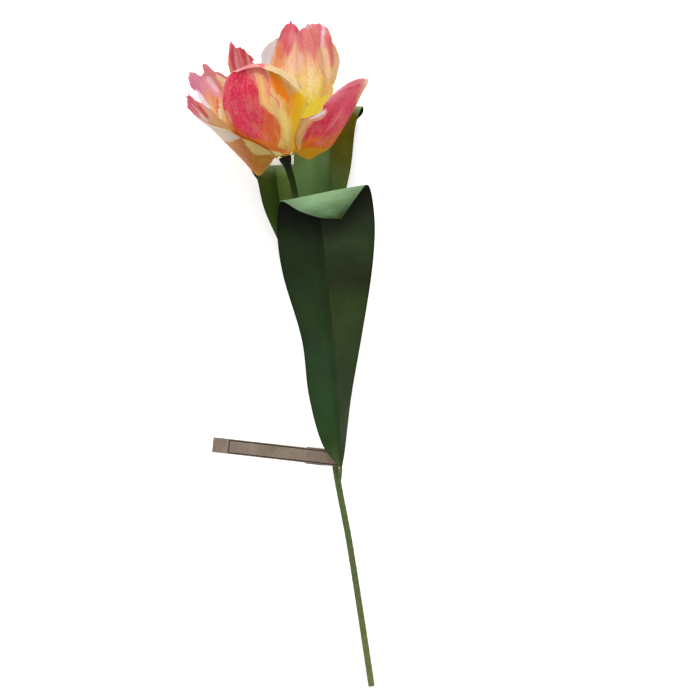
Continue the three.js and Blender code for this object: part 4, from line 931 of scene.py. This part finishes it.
BACK_RIGHT_OUTSIDE = petal_paper("back right petal, outside", 12.0, [
    (0.0, "E0B030"), (0.4, "ECC878"), (0.7, "E8A888"), (1.0, "D86880"),
], [
    ("D6506A", 0.12, 0.85, [(0.45, 0.0, -0.1), (0.6, 0.0, 0.2), (0.8, 0.0, 0.3), (1.0, 0.0, 0.3)]),
    ("E8A04C", 0.12, 0.8, [(0.15, 0.3, -0.1), (0.3, 0.35, 0.3), (0.5, 0.4, 0.2), (0.65, 0.45, -0.1)]),
])

PETAL_PAPERS = {  # the face on the side of the sheet's normal, and the other face
    "petal_front": (FRONT_OUTSIDE, FRONT_INSIDE),
    "petal_right": (RIGHT_OUTSIDE, RIGHT_INSIDE),
    "petal_left_low": (LOW_OUTSIDE, LOW_INSIDE),
    "petal_left_high": (HIGH_INSIDE, HIGH_OUTSIDE),
    "petal_back_left": (BACK_LEFT_INSIDE, BACK_LEFT_OUTSIDE),
    "petal_back_right": (BACK_RIGHT_INSIDE, BACK_RIGHT_OUTSIDE),
}


# ---------- making the petals ----------
def make_petal(name, petal, seed):
    sheet, place, height = grid_sheet(name + "_paper", PETAL_COLUMNS, PETAL_ROWS)
    coarse, fine = grain(place * 13, 0 * place, seed), grain(place * 34, 0 * place, seed + 1)
    nicks = petal["nicks"] * (coarse + 0.6 * fine)
    along = height + (torn(petal["tip"], place) - 1) * height**TIP_REACH + nicks * height**NICK_REACH
    left, right = (torn(petal.get(side, STRAIGHT), along) for side in ("left_margin", "right_margin"))
    margin = np.where(place < 0, left, right)
    margin = margin + petal["nicks"] * rise(along, 0.3, 0.7) * grain(np.sign(place), along * 26, seed + 2)
    across = place * (1 + (margin - 1) * np.abs(place) ** MARGIN_REACH)
    lift = np.zeros(len(place))
    for pleat in petal.get("pleats", []):
        grown = np.clip((along - pleat["from"]) / (pleat["full"] - pleat["from"]), 0, 1)
        crest = pleat["at"] + pleat.get("lean", 0) * np.maximum(along - 0.8, 0)
        lift += pleat["height"] * grown * np.exp(-(((across - crest) / pleat["width"]) ** 2))
    free = rise(along, 0.15, 0.5)  # the paper is held at its foot
    depth, waves, phase = petal["ruffle"]
    turns = waves * along + phase + np.where(across < 0, 0, RIGHT_PHASE)
    lift += depth * free * np.abs(across) ** 3 * np.sin(2 * pi * turns)
    for high, over, up, shift in WRINKLES:
        lift += high * free * grain(across * over, along * up, seed + shift)
    points = section(petal, across, along) + normals(petal, across, along) * lift[:, None]
    shape_sheet(sheet, points, across, along, CREPE / 2 + FLOOR_GAP)
    clad(sheet, *PETAL_PAPERS[name])
    thicken(sheet, CREPE)
    finish(sheet, "petal_paper_peach" if name == "petal_back_right" else "petal_paper_pink", name)


for i, (name, petal) in enumerate(PETALS.items()):
    make_petal(name, petal, 3.7 * i)


# ---------- leaves ----------
def leaf_card(name, seed, left, right, shade, fold=0.012):
    """Card with a fine grain, coloured from foot to tip on either side of its crease, shaded across."""
    card = Recipe(name, Roughness=0.7, Specular_IOR_Level=0.08)
    across, along = card.sheet_place()
    cloud = card.noise(across, along, 1.6, 9.0, seed, 3.0)
    moved = card.plus(along, card.times(card.minus(cloud, 0.5), 0.1))
    tint = card.mix(card.step(across, -fold, fold), card.ramp(moved, left), card.ramp(moved, right))
    crease = card.times(card.step(card.size(across), 0.02, 0.004), card.step(along, 0.66, 0.6))
    tint = card.mix(card.times(crease, 0.45), tint, colour("2A2210"))
    laid = card.noise(across, along, 5.0, 420.0, seed + 1.0, 2.0)
    mottle = card.plus(card.speckle(1100.0, 3.0), card.times(laid, 0.6))
    band = card.noise(across, along, 1.2, 16.0, seed + 2.0, 2.0)
    light = card.times(card.span(mottle, (0.5, 1.1), (0.86, 1.14)), card.span(band, (0.3, 0.7), (0.86, 1.12)))
    shaded = card.line(card.span(across, (-1, 1), (0, 1)), [(a / 2 + 0.5, v / 2) for a, v in shade])
    card.paint(card.lit(tint, card.times(light, card.times(shaded, 2.0))))
    card.bump(mottle, 0.3, 0.15)
    return card.material


EVEN = [(-1, 1.0), (1, 1.0)]
# Near-black towards the flap on both halves: painted shadow of the flap.
FRONT_LEAF_OUTSIDE = leaf_card(
    "front leaf, outside", 1.0,
    [(0.0, "42522A"), (0.1, "263E1C"), (0.15, "294220"), (0.24, "243A20"), (0.35, "203017"),
        (0.48, "192511"), (0.56, "0A0E05"), (0.6, "040603")],
    [(0.0, "2A3718"), (0.14, "3A4530"), (0.19, "323C26"), (0.24, "2C3820"), (0.35, "2E3B1C"),
        (0.4, "202814"), (0.48, "2A361F"), (0.55, "1C2214"), (0.64, "0A1006")],
    [(-1, 0.62), (-0.86, 1.0), (-0.3, 1.06), (-0.06, 0.86), (0.06, 1.0), (0.7, 1.05), (0.9, 0.95),
        (1, 0.6)],
)
# The flap is lightest at its fold and darker towards its tip: painted light and shade.
FRONT_LEAF_INSIDE = leaf_card(
    "front leaf, inside", 2.0,
    [(0.0, "5C7C4C"), (0.68, "7A9872"), (0.78, "718E68"), (0.88, "607D56"), (0.94, "4A633C"),
        (1.0, "34481F")],
    [(0.0, "5C7C4C"), (0.68, "789670"), (0.78, "6E8A62"), (0.88, "526C48"), (0.94, "3E5430"),
        (1.0, "30421D")],
    [(-1, 0.72), (-0.75, 0.9), (-0.35, 1.06), (0.1, 1.04), (0.4, 0.98), (0.7, 0.84), (1, 0.66)],
    fold=0.3,
)
# Lighter from about 0.7 on, where the leaf rolls over at its top: painted light.
REAR_RIGHT_INSIDE = leaf_card(
    "rear right leaf, inside", 3.0,
    [(0.0, "5E7C46"), (0.3, "5C7A4A"), (0.4, "567440"), (0.48, "64824C"), (0.58, "6C8A58"), (0.7, "88A274"),
        (1.0, "88A274")],
    [(0.0, "5E7C46"), (0.3, "56703A"), (0.42, "547238"), (0.48, "5A6A32"), (0.52, "5A6020"),
        (0.57, "545008"), (0.65, "544E04"), (0.7, "8AA175"), (1.0, "8AA175")],
    [(-1, 1.1), (-0.7, 1.16), (-0.3, 0.94), (-0.05, 0.88), (0.03, 1.0), (0.3, 1.1), (0.8, 1.0), (1, 0.85)],
    fold=0.14,
)
# Lighter from about 0.66 on, where the leaf rolls over at its top: painted light.
REAR_LEFT_INSIDE = leaf_card(
    "rear left leaf, inside", 4.0,
    [(0.0, "567040"), (0.3, "46602A"), (0.5, "3E5420"), (0.6, "44561E"), (0.66, "6E8454"), (0.71, "88A078"),
        (1.0, "88A078")],
    [(0.0, "567040"), (0.3, "54702C"), (0.5, "4E6824"), (0.6, "5A7034"), (0.66, "7C9462"), (0.71, "90AA80"),
        (1.0, "90AA80")],
    [(-1, 0.8), (-0.8, 1.0), (-0.1, 0.94), (0.05, 1.0), (0.5, 1.12), (1, 1.1)],
)
# Near-black from 0.7 on, where the tips curl under: painted shade.
REAR_LEAF_OUTSIDE = leaf_card(
    "rear leaves, outside", 5.0,
    [(0.0, "38502A"), (0.3, "304826"), (0.6, "283E20"), (0.7, "0E140A"), (1.0, "0E140A")],
    [(0.0, "38502A"), (0.3, "344826"), (0.6, "2C3E20"), (0.7, "0E140A"), (1.0, "0E140A")],
    EVEN,
)
LEAF_CARDS = {  # the face on the side of the sheet's normal, and the other face
    "leaf_front": (FRONT_LEAF_OUTSIDE, FRONT_LEAF_INSIDE),
    "leaf_rear_right": (REAR_RIGHT_INSIDE, REAR_LEAF_OUTSIDE),
    "leaf_rear_left": (REAR_LEFT_INSIDE, REAR_LEAF_OUTSIDE),
}

for name, leaf in LEAVES.items():
    sheet, across, along = grid_sheet(name + "_card", LEAF_COLUMNS, LEAF_ROWS)
    shape_sheet(sheet, section(leaf, across, along), across, along, CARD / 2 + FLOOR_GAP)
    clad(sheet, *LEAF_CARDS[name])
    thicken(sheet, CARD)
    finish(sheet, "leaf_card", name, sharp=20)


# ---------- tubes ----------
def sleeve(name, path, radius, sides, rows, capped=(True, True)):
    """A tube round a path: radius gives its radius from the share of the way and the angle."""
    sheet, place, along = grid_sheet(name, sides, rows)
    angle = (place + 1) * pi
    at = evenly(path, along)
    centre = spline(path, at)
    way = spline(path, np.minimum(at + 1e-3, 1)) - spline(path, np.maximum(at - 1e-3, 0))
    way /= np.linalg.norm(way, axis=-1, keepdims=True)
    aside = np.cross(way, (0, 0, 1))
    aside /= np.linalg.norm(aside, axis=-1, keepdims=True)
    up = np.cross(aside, way)
    spoke = aside * np.cos(angle)[:, None] + up * np.sin(angle)[:, None]
    points = centre + spoke * radius(along, angle)[:, None]
    shape_sheet(sheet, points, place, along)
    bpy.ops.object.mode_set(mode="EDIT")
    bpy.ops.mesh.select_all(action="SELECT")
    bpy.ops.mesh.remove_doubles(threshold=1e-6)
    bpy.ops.mesh.select_all(action="DESELECT")
    bpy.ops.object.mode_set(mode="OBJECT")
    tube = bmesh.new()
    tube.from_mesh(sheet.data)
    first, last = (Vector((end + RECEPTACLE) * MM) for end in (centre[0], centre[-1]))
    ends = {True: [], False: []}  # the open edges at the first end, and at the last
    for edge in tube.edges:
        if edge.is_boundary:
            spot = edge.verts[0].co
            ends[(spot - first).length < (spot - last).length].append(edge)
    for near, wanted in zip((True, False), capped):
        if wanted:
            bmesh.ops.contextual_create(tube, geom=ends[near])
    bmesh.ops.recalc_face_normals(tube, faces=tube.faces)
    tube.to_mesh(sheet.data)
    tube.free()
    return sheet


def wound(radius_at, length):
    """The radius of a core wound with tape, whose overlaps run round it in a spiral."""

    def radius(along, angle):
        turn = (along * length / TAPE_PITCH - angle / (2 * pi)) % 1
        return radius_at(along * length) + TAPE_STEP * (rise(turn, 0, 0.12) - turn)

    return radius


def tape_finish():
    tape = Recipe("stem tape", Roughness=0.65, Specular_IOR_Level=0.08)
    across, along = tape.sheet_place()
    # The ramp runs near-black at the bloom: darker tape there, with the bloom's shadow painted over it.
    base = tape.ramp(along, [
        (0.0, "10160A"), (0.018, "161E08"), (0.04, "1C260A"), (0.08, "2A360C"), (0.13, "47602B"),
        (0.45, "4E6234"), (0.6, "4E5E34"), (0.8, "546038"), (1.0, "6A6E40"),
    ])
    cloud = tape.speckle(220.0, 4.0)
    tint = tape.lit(base, tape.span(cloud, (0.3, 0.7), (0.85, 1.15)))
    turns = tape.times(along, STEM_LENGTH / TAPE_PITCH)
    phase = tape.math("FRACT", tape.minus(turns, tape.times(across, 0.5)))
    seam = tape.step(tape.size(tape.minus(phase, 0.5)), 0.4, 0.5)
    tape.paint(tape.mix(tape.times(seam, 0.35), tint, colour("24351A")))
    tape.bump(cloud, 0.3, 0.3)
    return tape.material


def head_radius(distance):
    return profile(HEAD, distance) - TAPE_STEP / 2


def branch_radius(distance):
    return np.full_like(distance, BRANCH_RADIUS - TAPE_STEP)


TAPE = tape_finish()
stem = sleeve("stem_winding", STEM_PATH, wound(head_radius, STEM_LENGTH), 24, 620, (True, False))
clad(stem, TAPE, TAPE)
thicken(stem, BORE_WALL, offset=-1)
branches = []
for i, path in enumerate(LEAF_BRANCHES):
    branch = sleeve(f"branch_{i}", path, wound(branch_radius, BRANCH_LENGTH), 16, 30)
    clad(branch, TAPE)
    branches.append(branch)
bpy.ops.object.select_all(action="DESELECT")
for part in [*branches, stem]:
    part.select_set(True)
bpy.context.view_layer.objects.active = stem
bpy.ops.object.join()
finish(stem, "stem_tape", "stem_tape", sharp=40)


def steel():
    wire = Recipe("drawn wire", Metallic=1.0, Roughness=0.38)
    scratch = wire.speckle(600.0, 3.0)
    wire.paint(wire.ramp(scratch, [(0.3, "6E6E6C"), (0.7, "A8A8A4")]))
    wire.bump(scratch, 0.2, 0.1)
    return wire.material


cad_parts["stem_wire"].data.materials.clear()
clad(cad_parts["stem_wire"], steel())


# ---------- pistil and stamens ----------
def tissue(name, scale, *stops):
    """Wrapped tissue paper, coloured from foot to top."""
    paper = Recipe(name, Roughness=0.8, Specular_IOR_Level=0.2)
    _, along = paper.sheet_place()
    dust = paper.speckle(scale, 4.0)
    paper.paint(paper.lit(paper.ramp(along, stops), paper.span(dust, (0.3, 0.7), (0.75, 1.2))))
    paper.bump(dust, 0.5, 0.4)
    return paper.material


# Both outlines are (height, radius) from foot to top.
PISTIL = [
    (0, 0.9), (3, 1.3), (8, 2.8), (14, 3.0), (19, 2.4), (20.5, 2.0), (22.5, 3.3), (24, 3.0), (24.5, 1.5),
]
PISTIL_HEIGHT = 24.5
STAMEN = [(0, 0.65), (12, 0.55), (13, 0.8), (14, 1.45), (20, 1.55), (23.5, 1.05), (24.4, 0.4)]
STAMEN_HEIGHT = 24.4
STAMEN_COUNT = 6
STAMEN_RING = 2.7
STAMEN_LEAN = radians(13)


def lobed(rings, height, lobes, depth, start):
    """A turned outline whose upper part is furrowed into lobes."""

    def radius(along, angle):
        grown = rise(along * height, start, start + 3)
        return profile(rings, along * height) * (1 - depth * grown * (0.5 - 0.5 * np.cos(lobes * angle)))

    return radius


def straight(foot, way, length):
    return [tuple(np.array(foot) + np.array(way) * length * share) for share in (0, 1 / 3, 2 / 3, 1)]


pistil_shape = lobed(PISTIL, PISTIL_HEIGHT, 3, 0.3, 4)
pistil = sleeve("pistil_tissue", straight(FEET, (0, 1, 0), PISTIL_HEIGHT), pistil_shape, 36, 60)
clad(pistil, tissue(
    "pistil tissue", 700.0,
    (0.0, "A8B24A"), (0.5, "B4BC52"), (0.8, "C8C870"), (0.9, "D8D48C"), (1.0, "E0DCA0"),
))
finish(pistil, "pistil_paper", "pistil", sharp=50)

STAMEN_TISSUE = tissue(
    "stamen tissue", 900.0, (0.0, "B9A850"), (0.48, "9A8A40"), (0.55, "4A3820"), (1.0, "3A2A1A")
)
stamen_shape = lobed(STAMEN, STAMEN_HEIGHT, 4, 0.25, 12)
for i in range(STAMEN_COUNT):
    turn = 2 * pi * i / STAMEN_COUNT
    foot = np.array(FEET) + np.array((cos(turn), 0, -sin(turn))) * STAMEN_RING
    way = (sin(STAMEN_LEAN) * cos(turn), cos(STAMEN_LEAN), -sin(STAMEN_LEAN) * sin(turn))
    stamen = sleeve(f"stamen_{i + 1}_tissue", straight(foot, way, STAMEN_HEIGHT), stamen_shape, 24, 48)
    clad(stamen, STAMEN_TISSUE)
    finish(stamen, "stamen_paper", f"stamen_{i + 1}", sharp=50)


# ---------- making the label ----------
label, place, along = grid_sheet("label_strip", LABEL_COLUMNS, LABEL_ROWS)
LABEL_PATH = [(a, 0, h) for a, h in LABEL_LINE]
line = spline(LABEL_PATH, along)
places, distances = measured(LABEL_PATH)
LABEL_LENGTH = float(distances[-1])
distance = np.interp(along, places, distances)
width = np.where(distance > LABEL_TAIL_START, LABEL_TAIL_WIDTH, LABEL_WIDTH) / 2
sideways = np.array((sin(LABEL_TURN), -cos(LABEL_TURN), 0))
lengthways = np.array((cos(LABEL_TURN), sin(LABEL_TURN), 0))
points = np.array(LABEL_CENTRE) + line[:, :1] * lengthways + line[:, 2:] * np.array((0, 0, 1))
points = points + sideways * (place * width)[:, None]
shape_sheet(label, points, place, distance / LABEL_LENGTH)


def kraft(name, printed):
    """Brown paper with loose fibres; the printed face has a thin ruled frame."""
    paper = Recipe(name, Roughness=0.85, Specular_IOR_Level=0.15)
    across, along = paper.sheet_place()
    distance = paper.times(along, LABEL_LENGTH)
    tint = paper.ramp(paper.speckle(60.0, 4.0), [(0.3, "74665A"), (0.7, "887A6C")])
    fibre = paper.noise(across, distance, 9.0, 0.35, 3.0, 4.0)
    tint = paper.mix(paper.times(paper.step(fibre, 0.56, 0.66), 0.5), tint, colour("52443A"))

    def rule(value, middle, weight):
        return paper.step(paper.size(paper.minus(value, middle)), *weight)

    if printed:
        edge = paper.times(paper.size(across), LABEL_WIDTH / 2)
        within = paper.step(edge, RULE_SIDE + 0.2, RULE_SIDE)
        beyond = paper.step(distance, RULE_END - 0.4, RULE_END - 0.1)
        sides = paper.times(rule(edge, RULE_SIDE, BOLD), beyond)
        end = paper.times(rule(distance, RULE_END, BOLD), within)
        tint = paper.mix(paper.math("MAXIMUM", sides, end), tint, colour("231E1B"))
        for middle in CROSS_RULES:
            crossing = paper.times(rule(distance, middle, THIN), within)
            tint = paper.mix(paper.times(crossing, 0.5), tint, colour("5C4E44"))
    paper.paint(tint)
    paper.bump(fibre, 0.3, 0.2)
    return paper.material


clad(label, kraft("kraft paper, printed", True), kraft("kraft paper, back", False))
thicken(label, LABEL_PAPER)
finish(label, "label_kraft", "label", sharp=50)

# ---------- floor, light and camera ----------
FLOOR_SIZE = 12
FLOOR_GLOW = 0.4
WHITE = (1.0, 1.0, 1.0, 1.0)
bpy.ops.mesh.primitive_plane_add(size=FLOOR_SIZE, location=(0, 0, 0))
floor = bpy.context.object
floor.name = "floor"
pale = Recipe(
    "pale floor", Roughness=0.9, Specular_IOR_Level=0.1,
    Emission_Color=WHITE, Emission_Strength=FLOOR_GLOW,
)
pale.paint(colour("F4F3F1"))
clad(floor, pale.material)

CAMERA_PLACE = (0.04015, 0.00429, 1.6)
SENSOR = 36
LENS = 94.08
STEM_SLOPE = (75, 455)  # how far the stem runs aside and up as the camera sees it
bpy.ops.object.camera_add(location=CAMERA_PLACE, rotation=(0, 0, -atan2(*STEM_SLOPE)))
camera = bpy.context.object
camera.data.sensor_width = SENSOR
camera.data.lens = LENS
bpy.context.scene.camera = camera

LAMP_AIM = Vector((0.02, 0.05, 0.04))
ROOM_LIGHT = 0.8


def lamp(name, place, size, power, tint):
    bpy.ops.object.light_add(type="AREA", location=place)
    light = bpy.context.object
    light.name = name
    light.data.size = size
    light.data.energy = power
    light.data.color = tint
    light.rotation_euler = (LAMP_AIM - Vector(place)).to_track_quat("-Z", "Y").to_euler()


lamp("key", (0.35, 1.9, 1.3), 1.2, 34.0, (1.0, 0.985, 0.96))
lamp("fill", (-0.9, -0.3, 1.6), 1.6, 6.0, (0.95, 0.98, 1.0))
world = bpy.data.worlds.new("room")
world.use_nodes = True
sky = world.node_tree.nodes["Background"].inputs
sky["Color"].default_value = WHITE
sky["Strength"].default_value = ROOM_LIGHT
bpy.context.scene.world = world
bpy.context.scene.view_settings.view_transform = "Standard"
